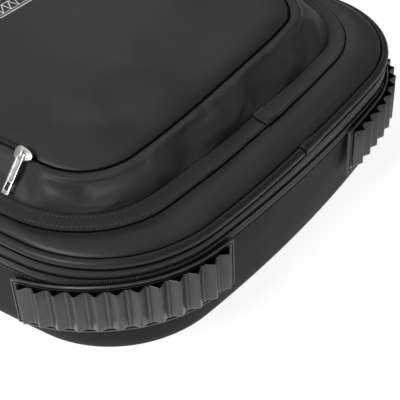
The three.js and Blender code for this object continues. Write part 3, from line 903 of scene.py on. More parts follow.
def add_lid():
    track = BODY_TRACK
    slump = lid_slump(track)
    middle = PIPING_MIDDLE
    kink = piping_join(track)
    rows = []
    for i in range(14):
        angle = 2 * math.pi * i / 14
        out = PIPING_RADIUS[0] * math.cos(angle) * (1 + 0.10 * kink)
        rise = PIPING_RADIUS[1] * math.sin(angle) * (1 + 0.12 * kink)
        rows.append(track.ring(PIPING_INSET - out, middle + rise + slump))
    piping = skin("lid_edge_piping", rows, [TRIM], tube=True)
    declare(piping, "lid", "leather", "lid_piping")
    # Dark cords of painted shade in the creases above and below the piping.
    shade_cord("piping_crease_shade_upper", track, PANEL_EDGE + 0.1 * MM, middle + 2.5 * MM + slump,
              "lid", 0.45 * MM)
    shade_cord("piping_crease_shade_lower", track, 0.2 * MM + 0.7 * MM * kink,
              middle - 3.2 * MM + 0.9 * slump - 0.8 * MM * kink, "lid", 0.95 * MM)

    top = PANEL[1].z
    bottom = PANEL[0].z
    profile = [(2, bottom, 0), (0, bottom, 0.3), (0, middle, 0), (0.1, middle, 1.5),
               (0.9, middle, 2.6), (2.0, middle, 3.3), (3.6, top, 0.1), (5.5, top, 0.25)]
    profile += [(step, top, 0) for step in (8, 11, 14, 17, 20, 24, 28, 33, 40, 50, 66)]
    band_width = (HEM_TRACK.at(0) - track.at(0)) * track.normal
    band_width = np.abs(band_width.sum(axis=1)) - PANEL_EDGE
    rows = [track.ring(60 * MM, bottom)]
    for step, level, rise in profile:
        inset = PANEL_EDGE + step * MM
        z = level + rise * MM
        ring = track.ring(inset, z)
        outer = 1 - smooth_step(30 * MM, 66 * MM, inset)
        soft = smooth_step(PANEL_EDGE, PANEL_EDGE + 12 * MM, inset)
        share = np.clip((inset - PANEL_EDGE) / band_width, 0, 1)
        puff = 2.3 * MM * np.sin(math.pi * share) ** 0.8
        wave = soft * (0.9 * MM * waves(ring, 42 * MM, 7.0) + 0.4 * MM * waves(ring, 18 * MM, 2.0))
        rows.append(track.ring(inset, z + slump * outer + wave + puff))
    rows += inner_rings(rows[-1], 9)
    panel = skin("lid_padded_panel", rows, [LEATHER], caps=(True, True))
    declare(panel, "lid", "leather", "lid_panel")
    return panel


lid_skin = add_lid()

# ---------------------------------------------------------------- pocket

FOLD_Y = FRONT_PANEL[1].y + 0.3 * MM
SEAM_Z = SEAM_BOX[0].z
SWELL = 3.0 * MM
CREST = 3.0 * MM
ZIP_START = 6 * MM
CLOTH = 1.8 * MM
CLOTH_FRAMES = 20
CLOTH_SETTINGS = dict(quality=6, mass=0.2, tension_stiffness=60, compression_stiffness=60,
                      shear_stiffness=8, bending_stiffness=6)


def surface(obj):
    bm = bmesh.new()
    bm.from_mesh(obj.data)
    tree = BVHTree.FromBMesh(bm)
    bm.free()
    return tree


def heights_on(tree, points, above=0.3):
    """Height of a surface straight below each point."""
    out = []
    for x, y, z in points:
        hit = tree.ray_cast(Vector((x, y, z + above)), Vector((0, 0, -1)))
        out.append(hit[0].z if hit[0] is not None else z)
    return np.array(out)


def add_hem():
    track = HEM_TRACK
    tree = surface(lid_skin)
    top = PANEL[1].z
    # (inset, rise above the lid) in millimetres: under the band, round its edge, back over it
    section = [(12.5, 0.2), (1.0, 0.15), (-0.15, 0.35), (-0.3, 0.9), (0.2, 1.45), (1.4, 1.75),
               (3.2, 1.7), (6.0, 1.75), (8.8, 1.8), (10.6, 2.2), (12.0, 2.7), (12.9, 2.2)]
    point = track.at(0)
    overlap = smooth_step(-1.2 * MM, 0.4 * MM, point[:, 0] - 1 * MM) * (point[:, 1] < 0)
    overlap = overlap * (1 - smooth_step(8 * MM, 40 * MM, point[:, 0]))
    rows = []
    for inset, z in section:
        ring = track.ring(inset * MM, top)
        base = heights_on(tree, ring)
        ripple = 0.25 * MM * waves(ring, 9 * MM, 5.0)
        rise = z * MM + 1.1 * MM * overlap * (0.2 < z)
        rows.append(track.ring(inset * MM - 1.3 * MM * overlap * (inset < 3), base + rise + ripple))
    hem = skin("pocket_hem_band", rows, [BINDING], tube=True)
    declare(hem, "lid", "webbing", "pocket_hem")
    edge = track.ring(-0.5 * MM, top)
    shade_cord("hem_edge_shadow", track, -0.5 * MM - 1.0 * MM * overlap,
              heights_on(tree, edge) + 0.25 * MM, "lid", 0.6 * MM)
    tree = surface(hem)
    for label, inset in (("outer", 2.0 * MM), ("inner", 10.0 * MM)):
        ring = track.ring(inset, PANEL[1].z)
        line = np.column_stack([ring[:, :2], heights_on(tree, ring) + 0.05 * MM])
        thread = stitches(f"hem_stitching_{label}", line, (0, 0, 1), THREAD, pitch=2.9 * MM,
                          length=2.2 * MM)
        declare(thread, "lid", "webbing")
    add_hem_join(tree)
    add_piping_join()
    return rows[10]


def front_arc(shape, along, inset):
    """A point on the front side of an outline, at a distance along from its middle."""
    angle = along / FRONT_RADIUS
    radius = FRONT_RADIUS - inset
    centre = FRONT_RADIUS - shape["half_length"]
    return radius * math.sin(angle), centre - radius * math.cos(angle)


JOIN_SLANT = 0.12


def add_hem_join(tree):
    """The binding's folded end, lying over its start in the middle of the front."""
    insets = (-0.9, -0.4, 1, 4, 7, 10, 11.8, 12.4)
    alongs = (0.5, 1.0, 2.5, 5, 8, 11, 13)
    top, low = [], []
    for inset in insets:
        row, under = [], []
        for along in alongs:
            x, y = front_arc(HEM, (along + JOIN_SLANT * inset) * MM, inset * MM)
            height = heights_on(tree, [(x, y, PANEL[1].z)])[0]
            edge = inset in (insets[0], insets[-1]) or along in (alongs[0], alongs[-1])
            row.append((x, y, height + (0.2 if edge else 1.1) * MM))
            under.append((x, y, height - 0.4 * MM))
        top.append(row)
        low.append(under)
    join = open_tube("hem_join", [*reversed(low), *top], [BINDING])
    declare(join, "lid", "webbing")
    line = []
    for inset in np.linspace(-0.6, 12.2, 12):
        x, y = front_arc(HEM, (0.1 + JOIN_SLANT * inset) * MM, inset * MM)
        line.append((x, y, heights_on(tree, [(x, y, PANEL[1].z)])[0] + 0.35 * MM))
    add_shade_line("hem_join_edge_shade", line, 0.42 * MM, (0, 0, 1))


# A thin near-black cord of painted shade along a line, where one layer's edge lies over another.
def add_shade_line(name, line, radius, width_axis):
    cord = sweep(name, line, circle_section(radius, 6), PAINTED_SHADE, False, width_axis)
    declare(cord, "lid", "webbing")


def add_piping_join():
    """A short sleeve where the piping's ends overlap, left of the middle of the front."""
    rows = []
    centre_z = PIPING_MIDDLE - 0.4 * MM
    for along, swell in ((-5.2, 0.2), (-5.0, 0.75), (-3, 0.8), (2, 0.75), (8, 0.55), (16, 0.2),
                         (22, -0.2)):
        row = []
        for k in range(16):
            angle = 2 * math.pi * k / 16
            out = (PIPING_RADIUS[0] + swell * MM) * math.cos(angle)
            rise = (PIPING_RADIUS[1] + swell * MM) * math.sin(angle)
            x, y = front_arc(BODY, along * MM, PIPING_INSET - out)
            row.append((x, y, centre_z + rise))
        rows.append(row)
    sleeve = outward(skin("piping_join", rows, [TRIM], caps=(True, True)))
    declare(sleeve, "lid", "leather")
    line = []
    for angle in np.radians(np.linspace(-70, 150, 14)):
        out = (PIPING_RADIUS[0] + 0.3 * MM) * math.cos(angle)
        x, y = front_arc(BODY, -5.5 * MM, PIPING_INSET - out)
        line.append((x, y, centre_z + (PIPING_RADIUS[1] + 0.3 * MM) * math.sin(angle)))
    add_shade_line("piping_join_edge_shade", line, 0.4 * MM, (1, 0, 0))


def relax(name, rows, pressure, slack, limit):
    """Settles a sheet held along its first and last rows, like cloth, and returns its rows."""
    rows = np.asarray(rows, float)
    sheet = skin(name, rows, [LEATHER])
    count = rows.shape[1]
    group = sheet.vertex_groups.new(name="held")
    group.add([r * count + i for r in (0, len(rows) - 1) for i in range(count)], 1.0, "REPLACE")
    cloth = sheet.modifiers.new("cloth", "CLOTH")
    settings = cloth.settings
    for key, value in CLOTH_SETTINGS.items():
        setattr(settings, key, value)
    settings.vertex_group_mass = "held"
    settings.use_pressure = True
    settings.uniform_pressure_force = pressure
    settings.shrink_min = -slack
    settings.effector_weights.gravity = 0
    cloth.collision_settings.use_collision = False
    cloth.point_cache.frame_start = 1
    cloth.point_cache.frame_end = CLOTH_FRAMES
    scene = bpy.context.scene
    for number in range(1, CLOTH_FRAMES + 1):
        scene.frame_set(number)
    settled = sheet.evaluated_get(bpy.context.evaluated_depsgraph_get())
    found = np.empty(len(settled.data.vertices) * 3)
    settled.data.vertices.foreach_get("co", found)
    moved = found.reshape(rows.shape) - rows
    scene.frame_set(1)
    bpy.data.objects.remove(sheet)
    size = np.linalg.norm(moved, axis=2, keepdims=True)
    return rows + moved * np.minimum(1, limit / np.maximum(size, 1e-9))


# Folds in the pocket's side: (station, width in stations, depth in millimetres to be scaled)
FOLDS = [(372, 5, 1.5), (381, 4, -1.2), (391, 5, 1.4), (402, 4, 0.9), (409, 3, -1.8),
         (415.5, 3.2, 2.5), (423, 2.0, 0.7), (429, 3.5, -2.2), (437.5, 3.2, 2.2), (446, 3.5, -1.5),
         (456, 5, 1.2), (520, 6, -1.6), (536, 5, 1.6), (560, 6, -1.4), (640, 7, 1.5), (655, 5, -1.5),
         (700, 6, 1.0), (720, 5, -1.0)]
FOLD_SCALE = 2.4


def add_gusset(foot):
    """The pocket's sloping side: padded, with soft folds that run down the slope."""
    track = SEAM_TRACK
    shift = along_stations(track, SEAM_SHIFT)
    head = track.ring(-0.5 * MM - shift, SEAM_Z - 1.0 * MM + along_stations(track, SEAM_SLUMP))
    slope = head - foot
    around = np.cross(np.array([0, 0, 1.0]), track.outward)
    outward_axis = np.cross(around, slope)
    outward_axis /= np.linalg.norm(outward_axis, axis=1)[:, None]
    outward_axis *= np.sign(outward_axis[:, 2:3])
    stations = np.arange(track.count)
    folds = np.zeros(track.count)
    for place, width, depth in FOLDS:
        gap = (stations - place + track.count / 2) % track.count - track.count / 2
        folds += FOLD_SCALE * depth * MM * np.exp(-0.5 * (gap / width) ** 2)
    x, y = track.at(0).T
    beside_pull = (x < 0) * smooth_step(FOLD_Y - 14 * MM, FOLD_Y + 2 * MM, y)
    folds = folds * (1 - 0.8 * beside_pull)
    flat = 1 - 0.65 * beside_pull
    rows = []
    for t in np.linspace(0, 1, 24):
        ring = foot + slope * t
        swell = flat * SWELL * math.sin(math.pi * t) ** 0.8 * (0.5 + 0.9 * t)
        roll = flat * CREST * math.exp(-((t - 0.88) / 0.08) ** 2)
        fold = folds * math.sin(math.pi * min(1, t * 1.15)) ** 1.3
        blur = 0.9 * MM * waves(ring, 26 * MM, 9.0) * math.sin(math.pi * t)
        rows.append(ring + outward_axis * (swell + roll + fold + blur)[:, None])
    rows = relax("gusset_cloth", rows, pressure=4, slack=0.01, limit=3.5 * MM)
    inner = [row - outward_axis * CLOTH for row in reversed(rows)]
    gusset = skin("pocket_gusset_skin", [*rows, *inner], [GUSSET, LINING], tube=True,
                  bands=[0] * (len(rows) - 1) + [1] * (len(inner) + 1))
    # A dark cord of painted shade in the crease of the pocket's seam.
    shade_cord("pocket_seam_shade", track, 0.3 * MM - shift,
              SEAM_Z - 0.5 * MM + along_stations(track, SEAM_SLUMP), "lid", 0.6 * MM)
    declare(gusset, "lid", "leather", "pocket_gusset")


def zipped(track):
    """1 along the zipped sides of the pocket, 0 along its sewn front edge."""
    return smooth_step(FOLD_Y - 4 * MM, FOLD_Y + ZIP_START, track.at(0)[:, 1])


# Swells and dips in the pocket's top panel: (x, y, size, rise) in millimetres
PUFFS = [(-94, -124, 15, 3.0), (-64, -122, 13, -2.6), (-34, -104, 22, 3.4), (20, -128, 24, -3.2),
         (-95, -70, 22, -2.6), (-20, -20, 42, 2.6), (78, -118, 22, -2.2), (96, -60, 25, 1.6)]


def panel_height(inset):
    """Crown of the pocket's top panel above the seam, by distance in from its edge."""
    roll = 1.7 * MM * (1 - np.exp(-inset / (2.2 * MM)))
    crown = 4.4 * MM * (1 - np.exp(-inset / (17 * MM)))
    return roll + crown


def add_pocket_panel():
    track = SEAM_TRACK
    slump = along_stations(track, SEAM_SLUMP)
    shift = along_stations(track, SEAM_SHIFT)
    start = 1.1 * MM + 3.2 * MM * zipped(track)
    steps = np.array([0, 0.35, 0.9, 1.8, 3.2, 5, 7.5, 11, 15, 19.5, 24]) * MM
    rings = [track.ring((start - shift) * (1 - step / steps[-1]) + step, 0.0) for step in steps]
    depths = list(steps)
    for share, ring in zip(np.linspace(1, 0, 23)[1:-1], inner_rings(rings[-1], 22)):
        rings.append(ring)
        depths.append(steps[-1] + (1 - share) * 100 * MM)
    rows = []
    for ring, depth in zip(rings, depths):
        outer = 1 - smooth_step(10 * MM, 75 * MM, depth)
        soft = smooth_step(0, 14 * MM, depth)
        wave = soft * (1.5 * MM * waves(ring, 80 * MM, 11.0) + 0.7 * MM * waves(ring, 30 * MM, 6.0))
        puffs = sum(rise * MM * np.exp(-((ring[:, 0] - x * MM) ** 2 + (ring[:, 1] - y * MM) ** 2)
                                       / (2 * (size * MM) ** 2)) for x, y, size, rise in PUFFS)
        height = SEAM_Z - 0.4 * MM + panel_height(depth) + wave + slump * outer + puffs * soft
        rows.append(np.column_stack([ring[:, :2], height]))
    under = [row - np.array([0, 0, CLOTH]) for row in reversed(rows[1:])]
    edge = rows[0] - np.array([0, 0, CLOTH / 2])
    stack = [*under, edge, *rows]
    bands = [1] * len(under) + [0] * len(rows)
    obj = skin("pocket_top_panel", stack, [LEATHER, LINING], caps=(True, True), bands=bands)
    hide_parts("pocket_front_panel", "pocket_flap")
    return obj


def add_pocket_zip(track):
    """Tape and coil round the three zipped sides, sunk between the gusset and the panel."""
    part = np.flatnonzero(track.at(0)[:, 1] > FOLD_Y + 1 * MM)
    lift = along_stations(track, SEAM_SLUMP)
    shift = along_stations(track, SEAM_SHIFT)
    section = [(4.6, -1.4), (0.2, -1.4), (0.0, 0.2), (0.6, 1.0), (1.5, 0.7), (1.9, 0.3), (4.6, 0.2)]
    rows = np.array([track.ring(inset * MM - shift, SEAM_Z + (z - 0.6) * MM + lift)
                     for inset, z in section])
    tape = open_tube("pocket_zip_tape_strip", rows[:, part], [TAPE])
    declare(tape, "lid", "webbing", "pocket_zip_tape")
    ring = track.ring(2.9 * MM - shift, SEAM_Z + 0.1 * MM + lift)
    spots, tangents = resample(ring[part], COIL_PITCH, closed=False)
    up = np.broadcast_to(np.array([0, 0, 1.0]), spots.shape)
    turn = pill(3.0 * MM, 0.95 * MM, 1.0 * MM)
    coil = coil_turns("pocket_zip_coil_turns", turn, spots, tangents, up)
    declare(coil, "lid", "webbing", "pocket_zip_coil")


def add_pocket():
    foot = add_hem()
    add_gusset(foot)
    panel = add_pocket_panel()
    add_pocket_zip(SEAM_TRACK)
    return panel


pocket_panel = add_pocket()

# ---------------------------------------------------------------- emblem


def hexagon(side):
    return [np.array([side * math.cos(math.radians(60 * i)), side * math.sin(math.radians(60 * i))])
            for i in range(6)]


def printed_line(a, b, width, centre, tree):
    """One printed stroke on the panel, following its crown."""
    a, b = np.asarray(a, float), np.asarray(b, float)
    along = (b - a) / np.linalg.norm(b - a)
    side = np.array([-along[1], along[0]]) * width / 2
    count = max(2, int(np.linalg.norm(b - a) / (3 * MM)) + 1)
    vertices = []
    for k in range(count):
        spot = centre + a + (b - a) * k / (count - 1)
        for offset in (side, -side):
            x, y = spot + offset
            z = heights_on(tree, [(x, y, SEAM_Z)])[0]
            vertices += [(x, y, z - 0.05 * MM), (x, y, z + 0.12 * MM)]
    faces = []
    for k in range(count - 1):
        p, q = 4 * k, 4 * k + 4
        faces += [(p + 1, q + 1, q + 3, p + 3), (p, p + 2, q + 2, q),
                  (p, q, q + 1, p + 1), (p + 2, p + 3, q + 3, q + 2)]
    end = 4 * (count - 1)
    faces += [(0, 1, 3, 2), (end, end + 2, end + 3, end + 1)]
    return vertices, faces


EMBLEM_SHIFT = (-2.0 * MM, -6.5 * MM)
EMBLEM_BAND = (3.4 * MM, 16 * MM)
EMBLEM_TEETH = 7


def add_emblem():
    """A six-sided frame with a band of triangles, round a faceted die."""
    tree = surface(pocket_panel)
    centre = np.array([EMBLEM_SHIFT[0], (EMBLEM_BOX[0].y + EMBLEM_BOX[1].y) / 2 + EMBLEM_SHIFT[1]])
    side = (EMBLEM_BOX[1].x - EMBLEM_BOX[0].x) / 2 - 1 * MM
    outer = hexagon(side)
    second, third = [hexagon(side - depth) for depth in EMBLEM_BAND]
    die = hexagon((side - EMBLEM_BAND[1]) * 0.5)
    strokes = []
    for i in range(6):
        n = (i + 1) % 6
        strokes += [(outer[i], outer[n], 1.5), (second[i], second[n], 0.7), (third[i], third[n], 0.9)]
        for k in range(EMBLEM_TEETH):
            top = third[i] + (third[n] - third[i]) * k / EMBLEM_TEETH
            top_next = third[i] + (third[n] - third[i]) * (k + 1) / EMBLEM_TEETH
            tip = second[i] + (second[n] - second[i]) * (k + 0.5) / EMBLEM_TEETH
            strokes += [(top, tip, 0.8), (tip, top_next, 0.8)]
    triangle = [die[1], die[3], die[5]]
    for i in range(3):
        a, b = triangle[i], triangle[(i + 1) % 3]
        tip = third[(2 * i + 2) % 6]
        strokes += [(a, b, 1.1), (a, tip, 0.8), (b, tip, 0.8)]
        strokes.append((a, third[2 * i + 1], 0.8))
    vertices, faces = [], []
    for a, b, width in strokes:
        points, quads = printed_line(a, b, width * MM, centre, tree)
        faces += [tuple(v + len(vertices) for v in quad) for quad in quads]
        vertices += points
    emblem = mesh_object("emblem_lines", vertices, faces, [PRINT], smooth=False)
    declare(emblem, "flap", "print", "emblem_print")


add_emblem()
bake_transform(pocket_panel)

# ---------------------------------------------------------------- bumpers

# PLATE and DEPTH are how far the plate's face and the ridges' crests stand out from the wall
BUMPER_LENGTH = 150 * MM
BUMPER_LOW = 29.4 * MM
BUMPER_HIGH = 67.1 * MM
PLATE = 2.3 * MM
DEPTH = 8.3 * MM
RIDGES = 12
PITCH = 11.65 * MM
MARGIN = 2.6 * MM
LOW_MARGIN = 4.6 * MM
LONG_SIDE_SAG = 10 * MM
FRONT_SAG = 1.4 * MM
# Each bumper's mirroring in X and in Y, and how far it is moved along the outline
CORNERS = {"front_left": (1, 1, 2 * MM), "front_right": (-1, 1, 30 * MM),
           "rear_left": (1, -1, 2 * MM), "rear_right": (-1, -1, 2 * MM)}


def wall_point(along, out):
    """Plan position at a distance along the front left corner, and out from the outline."""
    arcs = outline_arcs(**BODY)
    x, y, radius, start, end = arcs[7]
    half = radius * (end - start) / 2
    if along > half:
        x, y, radius, start, _ = arcs[0]
        angle = start + (along - half) / radius
    elif along < -half:
        x, y, radius, _, end = arcs[6]
        angle = end + (along + half) / radius
    else:
        angle = (start + end) / 2 + along / radius
    return x + (radius + out) * math.cos(angle), y + (radius + out) * math.sin(angle)


def sag(along):
    """How far a bumper's ends hang below its middle."""
    depth = LONG_SIDE_SAG if along < 0 else FRONT_SAG
    return depth * (along / (BUMPER_LENGTH / 2)) ** 2


def bent(grid, shift):
    """Rows of (along, out, height) bent round the corner, with the moulding's sag."""
    rows = []
    for row in grid:
        points = []
        for along, out, z in row:
            x, y = wall_point(along + shift, out)
            points.append((x, y, z - sag(along)))
        rows.append(points)
    return np.array(rows)


def rounded_zigzag():
    """Centre line of the folded sheet, as (along, out), with rounded crests and valleys."""
    start = -RIDGES * PITCH / 2
    valley, crest = PLATE + 0.7 * MM, DEPTH - 0.8 * MM
    points = []
    # One fold from valley to valley, as shares of the pitch and of the height
    shape = ((0.0, 0.17), (0.055, 0.15), (0.085, 0.05), (0.12, 0.06), (0.28, 0.44), (0.42, 0.80),
             (0.46, 0.92), (0.485, 0.98), (0.5, 1.0), (0.515, 0.98), (0.54, 0.92), (0.58, 0.80),
             (0.72, 0.44), (0.88, 0.06), (0.915, 0.05), (0.945, 0.15))
    for i in range(RIDGES):
        left = start + i * PITCH
        points += [(left + share * PITCH, valley + height * (crest - valley))
                   for share, height in shape]
    points.append((-start, valley))
    return np.array(points)


def folded_sheet():
    """Rows of the folded sheet's closed section, from bottom to top and back inside."""
    line = rounded_zigzag()
    tangent = np.gradient(line, axis=0)
    tangent /= np.linalg.norm(tangent, axis=1)[:, None]
    normal = np.column_stack([-tangent[:, 1], tangent[:, 0]])
    low, high = BUMPER_LOW + LOW_MARGIN, BUMPER_HIGH - MARGIN
    half, soft = 0.65 * MM, 0.3 * MM
    section = [(half - soft, low), (half, low + soft), (half, low + 3 * MM),
               (half, low + 6 * MM), (half, high - soft), (half - soft, high),
               (soft - half, high), (-half, high - soft),
               (-half, (low + high) / 2), (-half, low + soft), (soft - half, low)]
    rows = []
    for out, z in section:
        taper = 1 - smooth_step(low, low + 6 * MM, z)
        rows.append([(a + n[0] * out, o + n[1] * out, z + taper * 0.3 * (o - PLATE))
                     for (a, o), n in zip(line, normal)])
    return rows


def flange_rows():
    """The back plate, with a raised bead and a groove just inside its border."""
    half = BUMPER_LENGTH / 2
    steps = [0, 0.25, 0.7, 1.3, 1.8, 2.2, 2.7, 3.3]
    rises = [-1.3, -0.3, 0.1, 0.1, -0.45, -0.45, 0.0, 0.0]
    alongs = [-half + s * MM for s in steps]
    alongs += list(np.linspace(-half + 6 * MM, half - 6 * MM, 50))
    alongs += [half - s * MM for s in reversed(steps)]
    heights = [BUMPER_LOW + s * MM for s in steps] + [(BUMPER_LOW + BUMPER_HIGH) / 2]
    heights += [BUMPER_HIGH - s * MM for s in reversed(steps)]

    def rise(value, low, high):
        distance = min(value - low, high - value) / MM
        return float(np.interp(distance, steps, rises))

    front = []
    for z in heights:
        row = []
        for along in alongs:
            drop = min(rise(along, -half, half), rise(z, BUMPER_LOW, BUMPER_HIGH))
            row.append((along, PLATE + drop * MM, z))
        front.append(row)
    back = [[(a, 0.1 * MM, z) for a, _, z in row] for row in (front[-1], front[0])]
    return [back[1], *front, back[0]]


def bumper_lines(shift):
    """Dark cords of painted shade in the groove round the flange and in the gap above it."""
    half = BUMPER_LENGTH / 2
    step = 2.0 * MM
    border = rounded_box(step - half, half - step, BUMPER_LOW + step, BUMPER_HIGH - step, 1.2 * MM)
    border = np.array(border + border[:1])
    length = np.linalg.norm(np.diff(border, axis=0), axis=1)
    distance = np.concatenate([[0], np.cumsum(length)])
    wanted = np.arange(0, distance[-1], 2.5 * MM)
    along = np.interp(wanted, distance, border[:, 0])
    height = np.interp(wanted, distance, border[:, 1])
    groove = [(a, PLATE - 0.05 * MM, z) for a, z in zip(along, height)]
    reach = half - 5 * MM
    gap = [(a, 0.7 * MM, BUMPER_HIGH + 0.35 * MM) for a in np.linspace(-reach, reach, 60)]
    lines = []
    for label, path, radius, closed in (("groove", groove, 0.27 * MM, True),
                                        ("gap", gap, 0.6 * MM, False)):
        points = bent([path], shift)[0]
        outer = bent([[(a, out + 1 * MM, z) for a, out, z in path]], shift)[0]
        lines.append(sweep(f"bumper_{label}", points, circle_section(radius, 6), PAINTED_SHADE, closed,
                           width_axis=(outer - points) / MM))
    return lines


def bumper_shade_plate():
    """A thin plate of painted shade behind the folds, where hardly any light comes in."""
    reach = (RIDGES - 0.35) * PITCH / 2
    low, high = BUMPER_LOW + LOW_MARGIN, BUMPER_HIGH - MARGIN - 0.3 * MM
    back, front = PLATE - 0.3 * MM, PLATE + 0.15 * MM
    return [[(along, out, z) for along in np.linspace(-reach, reach, 50)]
            for out, z in ((back, low), (front, low), (front, high), (back, high))]


def add_bumper(name, mirror_x, mirror_y, shift):
    flange = open_tube(f"flange_{name}", bent(flange_rows(), shift), [RUBBER])
    hollow = open_tube(f"hollow_{name}", bent(bumper_shade_plate(), shift), [PAINTED_SHADE])
    rows = bent(folded_sheet(), shift)
    # The folded sheet's top edge and most of its inner face are painted near-black, as the shade
    # inside the ridges.
    bands = [int(5 <= r <= 8) for r in range(len(rows))]
    ridges = open_tube(f"ridges_{name}", rows, [RUBBER, PAINTED_SHADE], bands=bands)
    bumper = merge(f"corner_bumper_{name}", [flange, hollow, ridges, *bumper_lines(shift)])
    transform(bumper, Matrix.Diagonal((mirror_x, mirror_y, 1, 1)))
    smooth_by_angle(outward(bumper), 50)
    declare(bumper, "base", "rubber", f"bumper_{name}")


for corner, (flip_x, flip_y, offset) in CORNERS.items():
    add_bumper(corner, flip_x, flip_y, offset)

# ---------------------------------------------------------------- sliders and pulls

PLATE_THICKNESS = 1.6 * MM
SLIDER_HALF = (7.0 * MM, 4.9 * MM)
PULL_PIVOT = 2.9 * MM
PULL_LENGTH = 27 * MM
PULL_HALF = 2.75 * MM
PULL_BAR = 0.6 * MM
MAIN_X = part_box("main_front_slider")[1].x
# Each slider's place, the lean of its zip in degrees, and how far its pull droops
SLIDERS = {"pocket": (Vector((-133.5, -112.5, 112.6)) * MM, 45, 1),
           "main_front": (Vector((MAIN_X, -9 * MM, ZIP_LINE)), 90, 0),
           "main_rear": (Vector((MAIN_X, 9 * MM, ZIP_LINE)), 90, 0)}


def slider_outline(shrink=0.0):
    """Shield shape: a broad rounded head, shoulders, and a narrower tail."""
    length, half = SLIDER_HALF
    points = []
    for k in range(40):
        a = 2 * math.pi * k / 40
        x = math.cos(a)
        width = 0.80 + 0.20 * x if x < 0 else 0.80 + 0.20 * min(1, x * 1.6)
        y = signed_power(math.sin(a), 0.75) * width
        points.append((signed_power(x, 0.8) * (length - shrink), y * (half - shrink)))
    return points


def make_slider(name):
    plate = prism(name + "_plate", slider_outline(), 0, PLATE_THICKNESS, [METAL], 0.45 * MM)
    crown = prism(name + "_crown", slider_outline(1.5 * MM), PLATE_THICKNESS - 0.2 * MM,
                  PLATE_THICKNESS + 0.35 * MM, [METAL], 0.3 * MM)
    outline = [(2.5 * MM, 1.2 * MM), (2.5 * MM, 3.4 * MM)]
    outline += arc_points(1.1 * MM, 3.4 * MM, 1.4 * MM, 0, 90, 6)
    outline += arc_points(-1.1 * MM, 3.4 * MM, 1.4 * MM, 90, 180, 6) + [(-2.5 * MM, 1.2 * MM)]
    hole = rounded_box(-1.3 * MM, 1.3 * MM, 1.95 * MM, 3.9 * MM, 0.6 * MM)
    arch = prism(name + "_arch", outline, -1.2 * MM, 1.2 * MM, [METAL], 0.3 * MM, holes=[hole])
    transform(arch, Matrix.Rotation(math.pi / 2, 4, "Z") @ Matrix.Rotation(math.pi / 2, 4, "X"))
    return merge(name, [plate, crown, arch])


def make_pull(name):
    end = PULL_LENGTH - PULL_BAR
    shape = rounded_box(-PULL_HALF, PULL_HALF, -PULL_BAR, end, 0.9 * MM)
    eye = rounded_box(-1.55 * MM, 1.55 * MM, PULL_BAR, 3.7 * MM, 0.5 * MM)
    window = rounded_box(-1.5 * MM, 1.5 * MM, end - 7.6 * MM, end - 2.4 * MM, 0.35 * MM)
    tab = prism(name + "_tab", shape, -PULL_BAR, PULL_BAR, [METAL], 0.22 * MM, holes=[eye, window])
    rim = rounded_box(-2.2 * MM, 2.2 * MM, end - 8.4 * MM, end - 1.6 * MM, 0.6 * MM)
    frame_piece = prism(name + "_frame", rim, PULL_BAR - 0.1 * MM, PULL_BAR + 0.18 * MM, [METAL],
                        0.12 * MM, holes=[window])
    return merge(name, [tab, frame_piece])


def slider_frame(place, lean):
    """Slider axes: X along the zip, Y down the slope, Z out from the zip."""
    lean = math.radians(lean)
    axes = Matrix(((0, 1, 0), (-math.cos(lean), 0, -math.sin(lean)),
                   (-math.sin(lean), 0, math.cos(lean)))).transposed().to_4x4()
    return Matrix.Translation(place) @ axes


def add_sliders():
    for name, (place, lean, droop) in SLIDERS.items():
        axes = slider_frame(place, lean)
        slider = transform(make_slider(f"{name}_zip_slider"), axes)
        pivot = Matrix.Translation((0, 0, PULL_PIVOT))
        swing = Matrix.Rotation(math.radians(-droop), 4, "X")
        pull = transform(make_pull(f"{name}_zip_pull"), axes @ pivot @ swing)
        declare(slider, f"{name}_slider", "nickel", f"{name}_slider")
        declare(pull, f"{name}_pull", "nickel", f"{name}_pull")


add_sliders()

# ---------------------------------------------------------------- inside

TRAY_HALF = (134 * MM, 181 * MM)


def add_foam_block(node, outline, holes=()):
    low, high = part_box(node)
    block = prism(f"foam_{node}", outline, low.z, high.z, [FOAM], 1.4 * MM, holes=holes, segments=3)
    declare(block, "base", "foam", node)


def plan_inset(box):
    """How far a part's side lies inside the case's outline."""
    return BODY["half_width"] - box[1].x


def add_inside():
    hole = rounded_box(-TRAY_HALF[0], TRAY_HALF[0], -TRAY_HALF[1], TRAY_HALF[1], 3 * MM)
    outline = [tuple(point) for point in BODY_TRACK.at(plan_inset(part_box("tray_rim")))[::5]]
    add_foam_block("tray_rim", outline, [hole])
    names = ["long_divider_1", "long_divider_2"]
    names += [f"short_divider_{column}_{row}" for column in (1, 2, 3) for row in (1, 2, 3)]
    for node in names:
        low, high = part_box(node)
        add_foam_block(node, rounded_box(low.x, high.x, low.y, high.y, 0.6 * MM, 2))

    low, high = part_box("floor_board")
    outline = [tuple(point) for point in BODY_TRACK.at(plan_inset((low, high)))[::5]]
    board = prism("floor_stiffener", outline, low.z, high.z, [LINING], 0.5 * MM)
    declare(board, "base", "lining", "floor_board")
    add_foam_sheet("floor_foam", "base", "floor_pad", bumpy=False)
    add_foam_sheet("lid_egg_crate_foam", "lid", "lid_pad", bumpy=True)


EGG_SIZE = 26 * MM
EGG_DEPTH = 3.2 * MM
FOAM_EDGE = 0.9 * MM


